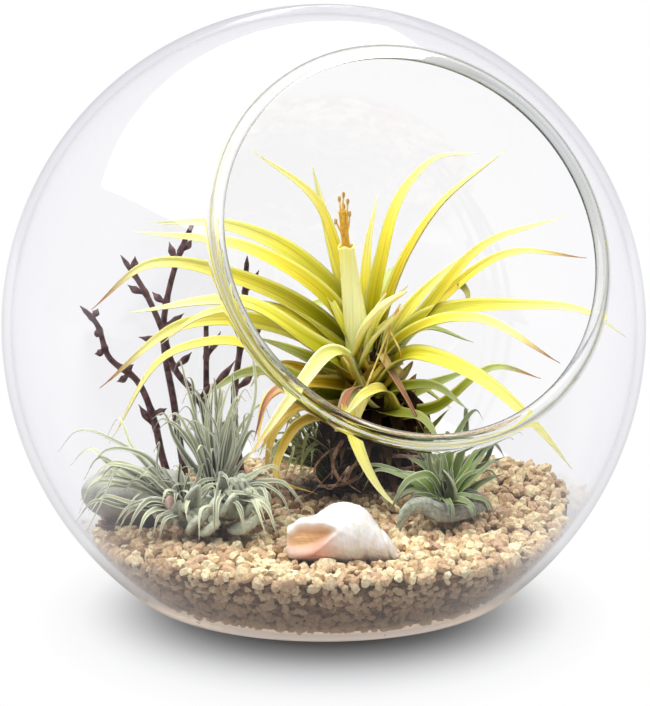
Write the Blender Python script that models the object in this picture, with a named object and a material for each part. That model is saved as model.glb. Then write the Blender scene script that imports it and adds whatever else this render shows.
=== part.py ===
"""A glass globe with a mouth set at a slant, planted with air plants on a bed of gravel.

Metres, +Z up, the origin at the middle of the flat foot. The mouth opens towards -Y and
upwards. The planting is laid out from its best side, which is turned a little from the mouth:
its places are given in millimetres as (across, toward, height), where across runs to the
right of someone looking at that side, toward runs to that person, and height is above the foot.
"""

import math
import random

import bmesh
import bpy
import numpy as np
from mathutils import Euler

MM = 0.001
GAP = 0.35
POLE_TILT = math.radians(8)

# The globe, in millimetres: a sphere above its middle, a slightly deeper half ellipse below
GLOBE_RADIUS = 100.0
LOWER_DEPTH = 103.5
CENTRE_HEIGHT = 84.8
WALL = 2.6
FLOOR = 3.0
ROUND_STEPS = 44
UPPER_STEPS = 9
LOWER_STEPS = 6

# The mouth: its axis lies in the YZ plane, and the lip is a fire-polished bead
MOUTH_RISE = math.radians(25.5)
MOUTH_HALF_ANGLE = math.radians(35.1)
CONE_REACH = (20.0, 130.0)
LIP_RADIUS = 1.9
LIP_STEPS = 48
LIP_SIDES = 8

# The side that the planting faces
PLANTING_TURN = math.radians(-20.4)

# The gravel: its level, the heap at the back right and the dip at the left
GRAVEL_LEVEL = 25.0
HEAP = (58.0, -25.0, 8.0, 26.0)
DIP = (-82.0, 0.0, -5.0, 25.0)
BED_EDGE = 78.0
SIDE_ROWS = 5
SIDE_RELIEF = 1.3
TOP_ROWS = 11
TOP_SHIFT = 0.015
TOP_RELIEF = 0.8
PEBBLES = 230
PEBBLE_SIZE = (2.6, 3.6)
PEBBLE_SHIFT = 1.4
PEBBLE_WAVES = (5.1, 3.7, 2.3)
PEBBLE_SINK = 0.5
PEBBLE_ROOM = 1.3

# What stands on the gravel, each on a levelled round: across, toward, radius, level.
# A pad under each round fills the dips in the gravel, and a cut above it takes off the pebbles.
SEATS = {
    "stump": (17.0, -25.0, 10.5, 25.6),
    "silver": (-33.0, 22.0, 10.0, 24.6),
    "small": (37.0, 20.0, 10.5, 25.0),
    "back": (0.0, -31.0, 5.5, 25.2),
    "shell": (6.0, 51.5, 18.0, 24.6),
    "stone": (-59.0, 2.0, 17.0, 22.0),
}
STANDING_GAP = 0.3
PAD_SHARE = 0.6
PAD_DEPTH = 6.0
CUT_HEIGHT = 30.0

# The yellow plant's stem, from its foot on the stump to its tip
CROWN_FOOT = (17.0, -25.0, 47.4)
CROWN_TIP = (13.5, -21.5, 74.0)
CROWN_RADII = (7.4, 5.4)
LEAF_THICKNESS = 0.8
LEAF_TURN = 0.85
LEAF_STEPS = 6

# The yellow plant's leaves: width, height on the stem, then the places that each passes
YELLOW_LEAVES = (
    (6.3, 66, (5, -27, 100), (-3, -24, 122), (-23, -16, 139)),
    (5.6, 66, (3, -34, 105), (-4, -40, 133)),
    (4.5, 66, (15, -36, 108), (18, -40, 123)),
    (6.3, 66, (19, -26, 100), (28, -29, 127), (36, -30, 135), (51, -32, 137)),
    (6.3, 65, (28, -15, 107), (37, -9, 122), (57, -5, 140)),
    (5.4, 64, (32, -15, 86), (52, -8, 110), (76, -5, 119)),
    (5.2, 64, (35, -26, 86), (61, -24, 105), (85, -20, 104)),
    (5.2, 64, (31, -40, 87), (53, -52, 105)),
    (6.5, 62, (33, -12, 85), (61, 0, 91), (82, 7, 90), (92, 9, 85)),
    (6.3, 61, (25, -8, 79), (48, 15, 89), (71, 28, 78)),
    (7.8, 58, (29, 5, 76), (50, 22, 70), (66, 25, 56), (76, 22, 44)),
    (5.6, 50, (36, -10, 56), (56, 2, 72), (68, 5, 69)),
    (5.2, 53, (31, -31, 58), (50, -40, 64)),
    (4.7, 51, (32, -15, 47), (40, -6, 57)),
    (6.0, 50, (22, -7, 57), (19, -2, 64), (14, 3, 64), (11, 6, 58), (9, 6, 50)),
    (3.1, 66, (22, -2, 68), (27, 3, 60), (32, 5, 51)),
    (5.6, 66, (13, -8, 82), (19, -2, 90), (26, 1, 96)),
    (6.5, 61, (7, -5, 74), (2, 6, 77), (-8, 24, 69), (-23, 40, 51)),
    (6.9, 66, (2, -26, 92), (-15, -27, 107), (-33, -26, 114), (-57, -24, 115)),
    (6.0, 66, (0, -18, 91), (-23, -12, 107), (-60, -8, 114)),
    (5.8, 64, (-4, -19, 85), (-27, -18, 97), (-57, -15, 102), (-75, -14, 88)),
    (8.3, 62, (-5, -5, 78), (-24, 5, 92), (-60, 12, 91)),
    (6.0, 60, (-11, -24, 79), (-45, -20, 82), (-73, -15, 62)),
    (5.8, 52, (-8, 0, 62), (-27, 10, 81), (-46, 8, 78), (-68, 4, 48)),
    (5.8, 57, (8, 0, 60), (10, 12, 50), (19, 20, 35), (24, 23, 31)),
    (7.2, 59, (-8, 4, 66), (-18, 24, 64), (-20, 30, 54)),
    (5.2, 55, (-4, -8, 60), (-15, 0, 52), (-19, 5, 34)),
    (4.7, 52, (-10, -3, 50), (-14, 9, 38), (-2, 13, 34)),
    (5.6, 66, (19, -17, 86), (27, -13, 96)),
    (6.3, 64, (20, -45, 92), (25, -66, 96)),
    (6.3, 62, (4, -44, 85), (-12, -64, 80)),
    (5.8, 61, (32, -42, 77), (52, -58, 70)),
    (5.8, 56, (14, -46, 66), (12, -66, 54)),
    (5.4, 54, (30, -40, 58), (44, -52, 48)),
)

# The flower: a rolled tube on the stem's tip, with stamens standing in its mouth
FLOWER_FOOT = (13.2, -21.0, 72.5)
FLOWER_TOP = (7.0, -15.0, 109.0)
FLOWER_RADII = (3.3, 2.3)
FLOWER_BORE = 1.6
FLOWER_BORE_FLOOR = 0.72
SOCKET_ROOM = 0.4
STAMEN_TIPS = ((5, -16, 124), (7.6, -13, 123), (6.4, -17.5, 121), (3.8, -14, 116.5))
STAMEN_RADIUS = 0.5

# The stump of dead leaf bases under the yellow plant, and the dry roots that curl out of it
STUMP_RADII = (9.5, 8.2, 6.4, 6.8)
STUMP_SIDES = 12
STUMP_TOP = 45.8
DRY_ROOTS = (
    ((15, -23, 42), (6, -12, 45), (3, -8, 38), (6, -7, 33), (9, -9, 37), (15, -22, 35)),
    ((18, -23, 38), (24, -9, 41), (31, -4, 42), (36, 2, 45)),
    ((15, -23, 33), (6, -11, 31), (-2, -8, 31)),
    ((19, -23, 34), (26, -12, 36), (33, -9, 38)),
)
ROOT_RADIUS = 0.6

# The dead leaves that droop from the stump: direction in degrees, reach and the height of the tip
DEAD_LEAVES = ((-35, 15, 38), (5, 15, 38), (45, 16, 36), (85, 17, 33), (125, 15, 34))
DEAD_LEAF_WIDTH = 5.0
DEAD_LEAF_RISE = (39.0, 41.5)
DEAD_LEAF_BEND = 0.6

# The silver plant's two heads: where each stands, then the tips of its needles
SILVER_HEADS = (
    (
        (-33, 22, 33),
        6.4,
        (-43, 10, 66), (-39, 15, 67), (-34, 12, 69), (-27, 9, 70), (-30, 17, 66), (-24, 16, 64),
        (-26, 23, 61), (-44, 24, 62), (-46, 19, 58), (-51, 15, 55), (-21, 36, 38), (-6, 32, 35),
        (-19, 41, 31), (-23, 47, 30), (-14, 45, 30), (-32, 49, 31), (-28, 40, 42), (-12, 25, 42),
        (-30, 4, 52), (-42, 3, 54), (-22, 6, 50), (-38, 34, 52),
    ),
    (
        (-42, 27, 32),
        4.6,
        (-79, 13, 43), (-68, 28, 44), (-72, 19, 44), (-75, 22, 34), (-71, 31, 32), (-62, 39, 31),
        (-58, 44, 30), (-50, 46, 30), (-60, 33, 40), (-54, 36, 46), (-44, 43, 38),
    ),
)
# The broad leaves that wrap its hearts: width, then the places that each passes
SILVER_LOBES = (
    (6.0, (-38, 26, 31), (-39, 33, 37), (-37, 36, 45)),
    (8.4, (-31, 24, 32), (-29, 36, 37), (-27, 38, 43)),
    (5.4, (-34, 25, 33), (-33, 36, 38), (-31, 37, 42)),
    (6.4, (-30, 25, 31), (-23, 38, 33), (-16, 38, 34)),
    (5.6, (-35, 26, 31), (-33, 37, 32), (-29, 40, 34)),
    (5.0, (-43, 28, 32), (-50, 32, 33), (-52, 33, 37)),
    (5.6, (-32, 22, 34), (-29, 30, 43), (-31, 31, 48)),
    (5.0, (-33, 20, 34), (-31, 15, 43), (-32, 14, 49)),
)
LOBE_THICKNESS = 1.8
NEEDLE_RADII = (1.3, 0.4)
NEEDLE_STEPS = 4
NEEDLE_ARCH = 0.22

# The small green plant at the right, and the tips of its leaves
SMALL_HEAD = (37, 20, 31)
SMALL_HEAD_RADIUS = 5.5
SMALL_LEAF_WIDTH = 3.2
SMALL_LEAF_ARCH = 0.30
SMALL_TIPS = (
    (27, 30, 30), (24, 11, 32), (10, 6, 35), (31, 13, 47), (25, 5, 47), (37, 16, 46), (56, 15, 46),
    (54, 24, 40), (62, 10, 52), (50, 5, 56), (46, 32, 31), (38, 35, 31), (52, 28, 31), (40, -2, 44),
)

# Its leaves on the viewer's side: width, then the places that each passes. The thick one winds
# round its foot like a trunk.
SMALL_LEAVES = (
    (3.0, (36, 20, 33), (31, 26, 43), (26, 28, 42), (20, 31, 34)),
    (3.2, (37, 18, 33), (32, 12, 42), (25, 8, 45)),
    (3.0, (38, 18, 33), (35, 9, 44), (31, 4, 48)),
    (3.0, (36, 19, 33), (28, 18, 41), (22, 16, 42)),
    (3.0, (38, 19, 33), (46, 12, 44), (55, 6, 49)),
    (3.0, (39, 20, 33), (46, 18, 42), (56, 14, 46)),
)
OVAL_LEAF = ((37, 21, 32), (38, 27, 40), (36, 27, 45))
OVAL_WIDTH = 5.0
TRUNK_LEAF = ((46, 15, 34), (41, 22, 33), (35, 26, 33), (30, 28, 35), (26, 30, 34), (24, 32, 32))
TRUNK_WIDTH = 5.6
TRUNK_THICKNESS = 3.0

# The spiky green plant at the back left
BACK_HEAD = (0, -31, 31)
BACK_HEAD_RADIUS = 4.2
BACK_TIPS = (
    (-19, -20, 47), (-18, -15, 42), (-20, -12, 37), (-11, -26, 50), (-4, -16, 46), (2, -14, 40),
    (-14, -36, 46), (-8, -46, 44), (2, -48, 42), (-22, -28, 38), (-2, -30, 54), (-10, -10, 35),
)

# The dry twigs: the path of each, then its side branches as (share of the path, tip)
TWIGS = (
    (
        ((-50, -36, 18), (-55, -39, 33), (-58, -38, 48), (-63, -38, 60), (-72, -34, 69),
         (-76, -32, 81), (-81, -30, 87)),
        ((0.35, (-63, -39, 52)), (0.42, (-53, -37, 51)), (0.62, (-70, -37, 60)),
         (0.66, (-64, -37, 66)), (0.78, (-77, -34, 70)), (0.86, (-77, -34, 77)),
         (0.93, (-75, -31, 86))),
    ),
    (
        ((-42, -36, 17), (-42, -36, 54), (-50, -34, 65), (-54, -32, 79), (-60, -30, 93),
         (-67, -29, 104)),
        ((0.40, (-38, -34, 60)), (0.55, (-44, -33, 71)), (0.66, (-62, -33, 76)),
         (0.84, (-65, -30, 94)), (0.92, (-62, -27, 104))),
    ),
    (
        ((-47, -47, 17), (-51, -43, 50), (-54, -40, 80), (-52, -40, 91), (-48, -41, 104),
         (-43, -42, 115)),
        ((0.62, (-47, -40, 83)), (0.70, (-58, -42, 90)), (0.84, (-52, -42, 107)),
         (0.88, (-44, -40, 108))),
    ),
    (
        ((-37, -44, 17), (-40, -43, 53), (-40, -44, 68), (-40, -45, 80)),
        ((0.35, (-31, -46, 47)), (0.50, (-46, -45, 58)), (0.60, (-30, -46, 66)),
         (0.80, (-35, -46, 76))),
    ),
    (
        ((-28, -52, 17), (-31, -52, 51), (-28, -53, 75), (-26, -51, 101)),
        ((0.45, (-24, -54, 60)), (0.62, (-20, -55, 78)), (0.72, (-33, -53, 85)),
         (0.85, (-22, -53, 96))),
    ),
)
TWIG_RADII = (1.15, 0.7)
HOLE_RADII = (1.85, 1.85)
HOLE_TOP = 43.0
SPUR_RADII = (0.75, 0.55)
TWIG_SIDES = 5
TWIG_STEPS = 11

# The seashell: its axis lies on the gravel, from the mouth end to the tip of the spire
SHELL_MOUTH_END = (-10.5, 52.0)
SHELL_TIP = (22.5, 53.0)
SHELL_GIRTH = 8.6
SHELL_PROFILE = (
    (0.0, 0.05, 0.15, 0.27, 0.38, 0.52, 0.66, 0.76, 0.82, 0.90, 1.0),
    (0.30, 0.52, 0.66, 0.80, 0.93, 1.0, 0.95, 0.80, 0.60, 0.33, 0.06),
)
SHELL_WHORLS = 3.6
SHELL_GROOVE = 0.14
SHELL_OPENING = (-4.2, 58.0, 33.0)
SHELL_OPENING_SIZE = (6.0, 3.6, 3.2)
SHELL_STEPS = (22, 16)

# The river stone: half its length, width and height
STONE_SIZE = (19.0, 12.0, 9.2)
STONE_STEPS = (8, 16)


def layout(place):
    """World metres of a place given as (across, toward, height) in millimetres."""
    across, toward, height = np.moveaxis(np.asarray(place, float), -1, 0)
    turn = PLANTING_TURN
    x = across * math.cos(turn) + toward * math.sin(turn)
    y = across * math.sin(turn) - toward * math.cos(turn)
    return np.stack([x, y, height], axis=-1) * MM


def material(name, colour, roughness, alpha=1.0, transmission=0.0):
    made = bpy.data.materials.new(name)
    made.use_nodes = True
    shader = made.node_tree.nodes["Principled BSDF"]
    shader.inputs["Base Color"].default_value = (*colour, 1.0)
    shader.inputs["Roughness"].default_value = roughness
    shader.inputs["Alpha"].default_value = alpha
    shader.inputs["Transmission Weight"].default_value = transmission
    return made


def solid(points, faces, name="piece"):
    """An object with this closed mesh, its faces turned outwards."""
    mesh = bpy.data.meshes.new(name)
    mesh.from_pydata([tuple(point) for point in points], [], faces)
    work = bmesh.new()
    work.from_mesh(mesh)
    bmesh.ops.recalc_face_normals(work, faces=work.faces)
    work.to_mesh(mesh)
    work.free()
    made = bpy.data.objects.new(name, mesh)
    bpy.context.scene.collection.objects.link(made)
    return made


def loft(rings, name="piece"):
    """A closed skin over rings of equal length, with a flat cap on the first and the last."""
    rings = np.asarray(rings)
    count, around = rings.shape[:2]
    faces = [
        (i * around + j, i * around + (j + 1) % around,
         (i + 1) * around + (j + 1) % around, (i + 1) * around + j)
        for i in range(count - 1)
        for j in range(around)
    ]
    faces.append(tuple(range(around)))
    faces.append(tuple((count - 1) * around + j for j in range(around)))
    return solid(rings.reshape(-1, 3), faces, name)


def smooth_path(places, count):
    """Evenly spaced points on the smooth curve through the places: Hermite cubics on chord length."""
    places = np.asarray(places, float)
    at = np.concatenate([[0.0], np.cumsum(np.linalg.norm(np.diff(places, axis=0), axis=1))])
    slope = np.gradient(places, at, axis=0)
    s = np.linspace(0.0, at[-1], count)
    i = np.clip(np.searchsorted(at, s, side="right") - 1, 0, len(at) - 2)
    span = (at[i + 1] - at[i])[:, None]
    u = (s - at[i])[:, None] / span
    return (
        (2 * u**3 - 3 * u**2 + 1) * places[i]
        + (u**3 - 2 * u**2 + u) * span * slope[i]
        + (3 * u**2 - 2 * u**3) * places[i + 1]
        + (u**3 - u**2) * span * slope[i + 1]
    )


def path_frame(path, turn=0.0):
    """Unit side and upper vectors at each point: upper points up, and leans to the viewer by the turn."""
    along = np.gradient(path, axis=0)
    along /= np.linalg.norm(along, axis=1)[:, None]
    heading = path[-1] - path[0]
    level = np.array([-heading[1], heading[0], 0.0])
    if np.linalg.norm(level) < 1e-6:
        level = np.array([1.0, 0.0, 0.0])
    level /= np.linalg.norm(level)
    side = level - (along @ level)[:, None] * along
    side /= np.linalg.norm(side, axis=1)[:, None]
    viewer = np.array([0.0, 1.0, 0.0])
    upper = np.cross(along, side) + turn * (viewer - (along @ viewer)[:, None] * along)
    upper /= np.linalg.norm(upper, axis=1)[:, None]
    return np.cross(upper, along), upper


def blade(places, width, thickness, steps, rounded=False):
    """A leaf: a shallow channel that narrows to its tip, or to both ends where it is rounded,
    thick enough to be a sound solid."""
    path = smooth_path(places, steps + 1)
    side, upper = path_frame(path, LEAF_TURN)
    share = np.linspace(0.0, 1.0, steps + 1)
    if rounded:
        half = 0.5 * width * np.sin(math.pi * (0.14 + 0.85 * share)) ** 0.6
    else:
        half = 0.5 * width * (1.0 - share**2.5) * (1.0 + 0.35 * (1.0 - share) ** 3)
    half = np.maximum(half, 0.35)
    channel = 0.35 * half
    rings = []
    for k in range(steps + 1):
        across = side[k] * half[k]
        lift = upper[k] * channel[k]
        skin = upper[k] * 0.5 * thickness
        rings.append([
            path[k] - across + lift + skin, path[k] + skin, path[k] + across + lift + skin,
            path[k] + across + lift - skin, path[k] - skin, path[k] - across + lift - skin,
        ])
    return loft(layout(rings))


def tube(places, radii, sides, steps):
    """A round stem along a smooth path, from the first radius to the last."""
    path = smooth_path(places, steps + 1)
    side, upper = path_frame(path)
    turn = np.linspace(0.0, 2 * math.pi, sides, endpoint=False)
    radius = np.linspace(radii[0], radii[1], steps + 1)[:, None, None]
    rings = path[:, None] + radius * (
        side[:, None] * np.cos(turn)[None, :, None] + upper[:, None] * np.sin(turn)[None, :, None]
    )
    return loft(layout(rings))


def ball(place, radii, rings=6, sides=10):
    """An upright ellipsoid with small flat poles."""
    tilt = np.linspace(POLE_TILT, math.pi - POLE_TILT, rings + 1)
    turn = np.linspace(0.0, 2 * math.pi, sides, endpoint=False)
    grid = np.stack(
        [
            radii[0] * np.sin(tilt)[:, None] * np.cos(turn),
            radii[1] * np.sin(tilt)[:, None] * np.sin(turn),
            radii[2] * np.cos(tilt)[:, None] * np.ones(sides),
        ],
        axis=-1,
    )
    return loft(layout(grid + np.asarray(place, float)))


def post(across, toward, radius, low, high):
    """An upright cylinder, for the levelled rounds."""
    sides = 14
    turn = np.linspace(0.0, 2 * math.pi, sides, endpoint=False)
    ring = np.stack([across + radius * np.cos(turn), toward + radius * np.sin(turn)], axis=-1)
    rings = [np.column_stack([ring, np.full(sides, float(height))]) for height in (low, high)]
    return loft(layout(rings))


def combine(base, others, operation, solver):
    """The base after one Boolean with all the others, which are then removed."""
    helpers = bpy.data.collections.new("helpers")
    for other in others:
        helpers.objects.link(other)
    modifier = base.modifiers.new("combine", "BOOLEAN")
    modifier.operation = operation
    modifier.solver = solver
    modifier.operand_type = "COLLECTION"
    modifier.collection = helpers
    bpy.context.view_layer.update()
    graph = bpy.context.evaluated_depsgraph_get()
    made = bpy.data.meshes.new_from_object(base.evaluated_get(graph))
    base.modifiers.clear()
    base.data = made
    for other in others:
        bpy.data.objects.remove(other)
    bpy.data.collections.remove(helpers)
    drop_scraps(base.data)
    return base


def drop_scraps(mesh):
    """Removes the loose crumbs that a cut leaves, so that the mesh is one body again."""
    work = bmesh.new()
    work.from_mesh(mesh)
    unseen = set(work.verts)
    bodies = []
    while unseen:
        body = [unseen.pop()]
        for vertex in body:
            for edge in vertex.link_edges:
                neighbour = edge.other_vert(vertex)
                if neighbour in unseen:
                    unseen.remove(neighbour)
                    body.append(neighbour)
        bodies.append(body)
    bodies.sort(key=len)
    crumbs = [vertex for body in bodies[:-1] for vertex in body]
    bmesh.ops.delete(work, geom=crumbs, context="VERTS")
    work.to_mesh(mesh)
    work.free()


def finish(piece, name, look, smooth_angle=40.0):
    piece.name = name
    piece.data.name = name
    piece.data.materials.clear()
    piece.data.materials.append(look)
    piece.data.shade_smooth()
    piece.data.set_sharp_from_angle(angle=math.radians(smooth_angle))
    return piece


def globe_profile(radius, depth, floor_height):
    """(radius, height) pairs down the globe's side, from its top to where it meets a level floor."""
    upper = np.linspace(math.radians(89.5), 0.0, UPPER_STEPS + 1)
    foot_angle = math.asin((CENTRE_HEIGHT - floor_height) / depth)
    lower = np.linspace(0.0, foot_angle, LOWER_STEPS + 1)[1:]
    pairs = [(radius * math.cos(a), CENTRE_HEIGHT + radius * math.sin(a)) for a in upper]
    pairs += [(radius * math.cos(a), CENTRE_HEIGHT - depth * math.sin(a)) for a in lower]
    return pairs


def turned(pairs):
    """The solid turned from a profile, with a flat cap at its top and its floor."""
    turn = np.linspace(0.0, 2 * math.pi, ROUND_STEPS, endpoint=False)
    rings = [
        np.column_stack([r * np.cos(turn), r * np.sin(turn), np.full(ROUND_STEPS, z)]) for r, z in pairs
    ]
    return loft(np.array(rings) * MM)


def mouth_frame():
    """The mouth's axis, and two unit vectors square to it."""
    axis = np.array([0.0, -math.cos(MOUTH_RISE), math.sin(MOUTH_RISE)])
    level = np.array([1.0, 0.0, 0.0])
    return axis, level, np.cross(axis, level)


def mouth_ring(distance, radius, sides):
    """A circle round the mouth's axis, at a distance from the globe's centre."""
    axis, level, steep = mouth_frame()
    turn = np.linspace(0.0, 2 * math.pi, sides, endpoint=False)
    centre = np.array([0.0, 0.0, CENTRE_HEIGHT]) + distance * axis
    return centre + radius * (np.cos(turn)[:, None] * level + np.sin(turn)[:, None] * steep)


def make_globe():
    """The blown shell: a turned wall, opened by a cone from its centre, with a bead round the mouth."""
    shell = turned(globe_profile(GLOBE_RADIUS, LOWER_DEPTH, 0.0))
    hollow = turned(globe_profile(GLOBE_RADIUS - WALL, LOWER_DEPTH - WALL, FLOOR))
    slope = math.tan(MOUTH_HALF_ANGLE)
    cone = loft([mouth_ring(d, d * slope, LIP_STEPS) * MM for d in CONE_REACH])
    combine(shell, [hollow, cone], "DIFFERENCE", "EXACT")

    middle = GLOBE_RADIUS - WALL / 2
    bead_turn = np.linspace(0.0, 2 * math.pi, LIP_SIDES, endpoint=False)
    circles = [
        mouth_ring(
            middle * math.cos(MOUTH_HALF_ANGLE) + LIP_RADIUS * math.cos(a),
            middle * math.sin(MOUTH_HALF_ANGLE) + LIP_RADIUS * math.sin(a),
            LIP_STEPS,
        )
        for a in bead_turn
    ]
    points = np.array(circles).reshape(-1, 3) * MM
    faces = [
        (i * LIP_STEPS + j, i * LIP_STEPS + (j + 1) % LIP_STEPS,
         (i + 1) % LIP_SIDES * LIP_STEPS + (j + 1) % LIP_STEPS, (i + 1) % LIP_SIDES * LIP_STEPS + j)
        for i in range(LIP_SIDES)
        for j in range(LIP_STEPS)
    ]
    combine(shell, [solid(points, faces)], "UNION", "EXACT")
    look = material("clear_glass", (0.95, 0.98, 0.98), 0.02, alpha=0.35, transmission=1.0)
    return finish(shell, "glass_globe", look, smooth_angle=25.0)


def ground_height(across, toward):
    """The gravel's height, with a heap and a dip laid over its level."""
    height = GRAVEL_LEVEL
    for middle_across, middle_toward, rise, spread in (HEAP, DIP):
        away = (across - middle_across) ** 2 + (toward - middle_toward) ** 2
        height = height + rise * np.exp(-away / (2 * spread**2))
    return height


def bed_radius(height):
    """The radius that the gravel may fill at a height, clear of the glass's inner facets."""
    pairs = globe_profile(GLOBE_RADIUS - WALL, LOWER_DEPTH - WALL, FLOOR)
    radii, heights = np.array(pairs[::-1]).T
    return float(np.interp(height, heights, radii)) - GAP


def pebble(place, size, draw):
    """A broken stone: an icosahedron, turned at random, knocked about and a little squashed."""
    work = bmesh.new()
    bmesh.ops.create_icosphere(work, subdivisions=1, radius=size)
    turn = Euler([draw.uniform(0.0, math.pi) for _ in range(3)]).to_matrix()
    points = []
    for vertex in work.verts:
        x, y, z = turn @ vertex.co * draw.uniform(0.82, 1.12)
        points.append((place[0] + x, place[1] + y, place[2] + 0.8 * z))
    faces = [[vertex.index for vertex in face.verts] for face in work.faces]
    work.free()
    return solid(layout(points), faces)


def bed_fill(draw):
    """The bed's body: its side is knobbly against the glass, and its top is rough with gravel."""
    turn = np.linspace(0.0, 2 * math.pi, ROUND_STEPS, endpoint=False) - PLANTING_TURN
    floor = FLOOR + GAP
    rings = []
    for share in np.linspace(0.0, 1.0, SIDE_ROWS):
        ring = []
        for angle in turn:
            edge = ground_height(BED_EDGE * math.cos(angle), -BED_EDGE * math.sin(angle))
            height = floor + share * (edge - floor)
            inset = draw.uniform(0.0, SIDE_RELIEF) if share else 0.0
            reach = bed_radius(height) - inset
            ring.append((reach * math.cos(angle), -reach * math.sin(angle), height))
        rings.append(ring)
    rim = rings[-1]
    for share in np.linspace(1.0, 0.0, TOP_ROWS, endpoint=False)[1:]:
        ring = []
        for across, toward, _ in rim:
            shift = share * draw.uniform(1.0 - TOP_SHIFT, 1.0 + TOP_SHIFT)
            place = (across * shift, toward * shift)
            ring.append((*place, ground_height(*place) + draw.uniform(-TOP_RELIEF, TOP_RELIEF)))
        rings.append(ring)
    return loft(layout(rings))


def loose_pebbles(draw):
    """Pebbles on a sunflower spiral, each moved and sized by its own sines, sunk into the top,
    leaving out the levelled rounds."""
    golden = math.pi * (3 - math.sqrt(5))
    smallest, largest = PEBBLE_SIZE
    first, second, third = PEBBLE_WAVES
    found = []
    for k in range(PEBBLES):
        away = (BED_EDGE - 2.0) * math.sqrt((k + 0.5) / PEBBLES)
        across = away * math.cos(k * golden) + PEBBLE_SHIFT * math.sin(first * k)
        toward = away * math.sin(k * golden) + PEBBLE_SHIFT * math.cos(second * k)
        size = smallest + (largest - smallest) * (0.5 + 0.5 * math.sin(third * k))
        height = ground_height(across, toward) - PEBBLE_SINK
        clear = all(
            math.hypot(across - seat[0], toward - seat[1]) > seat[2] + size for seat in SEATS.values()
        )
        room = bed_radius(height - 1.0) - PEBBLE_ROOM * size
        if clear and math.hypot(across, toward) < room:
            found.append(pebble((across, toward, height), size, draw))
    return found


def make_gravel():
    """One bed of fill and pebbles, levelled under what stands on it and holed for the twigs."""
    draw = random.Random(11)
    bed = bed_fill(draw)
    rounds = SEATS.values()
    pads = [post(a, t, PAD_SHARE * r, level - PAD_DEPTH, level) for a, t, r, level in rounds]
    combine(bed, loose_pebbles(draw) + pads, "UNION", "MANIFOLD")
    cleared = [post(a, t, r, level, level + CUT_HEIGHT) for a, t, r, level in rounds]
    for path, _ in TWIGS:
        line = smooth_path(path, 60)
        stretch = line[line[:, 2] < HOLE_TOP]
        foot = stretch[0] - [0.0, 0.0, GAP]
        cleared.append(tube((foot, stretch[len(stretch) // 2], stretch[-1]), HOLE_RADII, 8, 3))
    combine(bed, cleared, "DIFFERENCE", "MANIFOLD")
    return finish(bed, "gravel_bed", material("gravel", (0.72, 0.58, 0.42), 0.8), 50.0)


def on_stem(height):
    """The middle of the yellow plant's stem at a height."""
    foot, tip = np.array(CROWN_FOOT), np.array(CROWN_TIP)
    share = (height - foot[2]) / (tip[2] - foot[2])
    return tuple(foot + share * (tip - foot))


def make_yellow_plant():
    stem = tube((CROWN_FOOT, on_stem(60), CROWN_TIP), CROWN_RADII, 10, 4)
    leaves = [
        blade((on_stem(height), *places), width, LEAF_THICKNESS, LEAF_STEPS)
        for width, height, *places in YELLOW_LEAVES
    ]
    combine(stem, leaves, "UNION", "MANIFOLD")
    foot, top = np.array(FLOWER_FOOT), np.array(FLOWER_TOP)
    room = foot - (top - foot) * GAP / np.linalg.norm(top - foot)
    socket = tube((room, top), [radius + SOCKET_ROOM for radius in FLOWER_RADII], 12, 1)
    combine(stem, [socket], "DIFFERENCE", "MANIFOLD")
    look = material("yellow_leaf", (0.72, 0.74, 0.12), 0.45)
    return finish(stem, "air_plant_leaves", look)


def make_flower():
    foot, top = np.array(FLOWER_FOOT), np.array(FLOWER_TOP)
    roll = tube((foot, top), FLOWER_RADII, 12, 3)
    along = top - foot
    bore_floor = foot + FLOWER_BORE_FLOOR * along
    bore = tube((bore_floor, top + 0.1 * along), (FLOWER_BORE, FLOWER_BORE), 10, 1)
    combine(roll, [bore], "DIFFERENCE", "EXACT")
    finish(roll, "air_plant_flower", material("flower_green", (0.80, 0.84, 0.45), 0.5))

    plug_foot = foot + (FLOWER_BORE_FLOOR + 0.015) * along
    plug = tube((plug_foot, foot + 0.86 * along), (FLOWER_BORE - 0.4, FLOWER_BORE - 0.5), 8, 1)
    stalks = [
        tube((foot + 0.78 * along, top, tip), (STAMEN_RADIUS, STAMEN_RADIUS * 1.3), 3, 3)
        for tip in STAMEN_TIPS
    ]
    combine(plug, stalks, "UNION", "MANIFOLD")
    finish(plug, "air_plant_stamens", material("stamen_orange", (0.90, 0.52, 0.10), 0.5))


def make_stump():
    across, toward, _, level = SEATS["stump"]
    foot = level + STANDING_GAP
    turn = np.linspace(0.0, 2 * math.pi, STUMP_SIDES, endpoint=False)
    draw = random.Random(5)
    rings = []
    for height, radius in zip(np.linspace(foot, STUMP_TOP, len(STUMP_RADII)), STUMP_RADII):
        rough = np.array([radius * draw.uniform(0.88, 1.0) for _ in turn])
        rings.append(np.column_stack([
            across + rough * np.cos(turn), toward + rough * np.sin(turn), np.full(STUMP_SIDES, height)
        ]))
    stump = loft(layout(rings))
    drooping = [tube(places, (ROOT_RADIUS * 1.4, ROOT_RADIUS), 4, 9) for places in DRY_ROOTS]
    for degrees, reach, tip_height in DEAD_LEAVES:
        out = np.array([math.cos(math.radians(degrees)), math.sin(math.radians(degrees)), 0.0])
        root = np.array([across, toward, 0.0])
        bend = root + DEAD_LEAF_BEND * reach * out
        places = (
            root + [0.0, 0.0, DEAD_LEAF_RISE[0]], bend + [0.0, 0.0, DEAD_LEAF_RISE[1]],
            root + reach * out + [0.0, 0.0, tip_height],
        )
        drooping.append(blade(places, DEAD_LEAF_WIDTH, LEAF_THICKNESS, 4))
    combine(stump, drooping, "UNION", "MANIFOLD")
    return finish(stump, "air_plant_stump", material("dry_stump", (0.20, 0.11, 0.06), 0.9))


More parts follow.
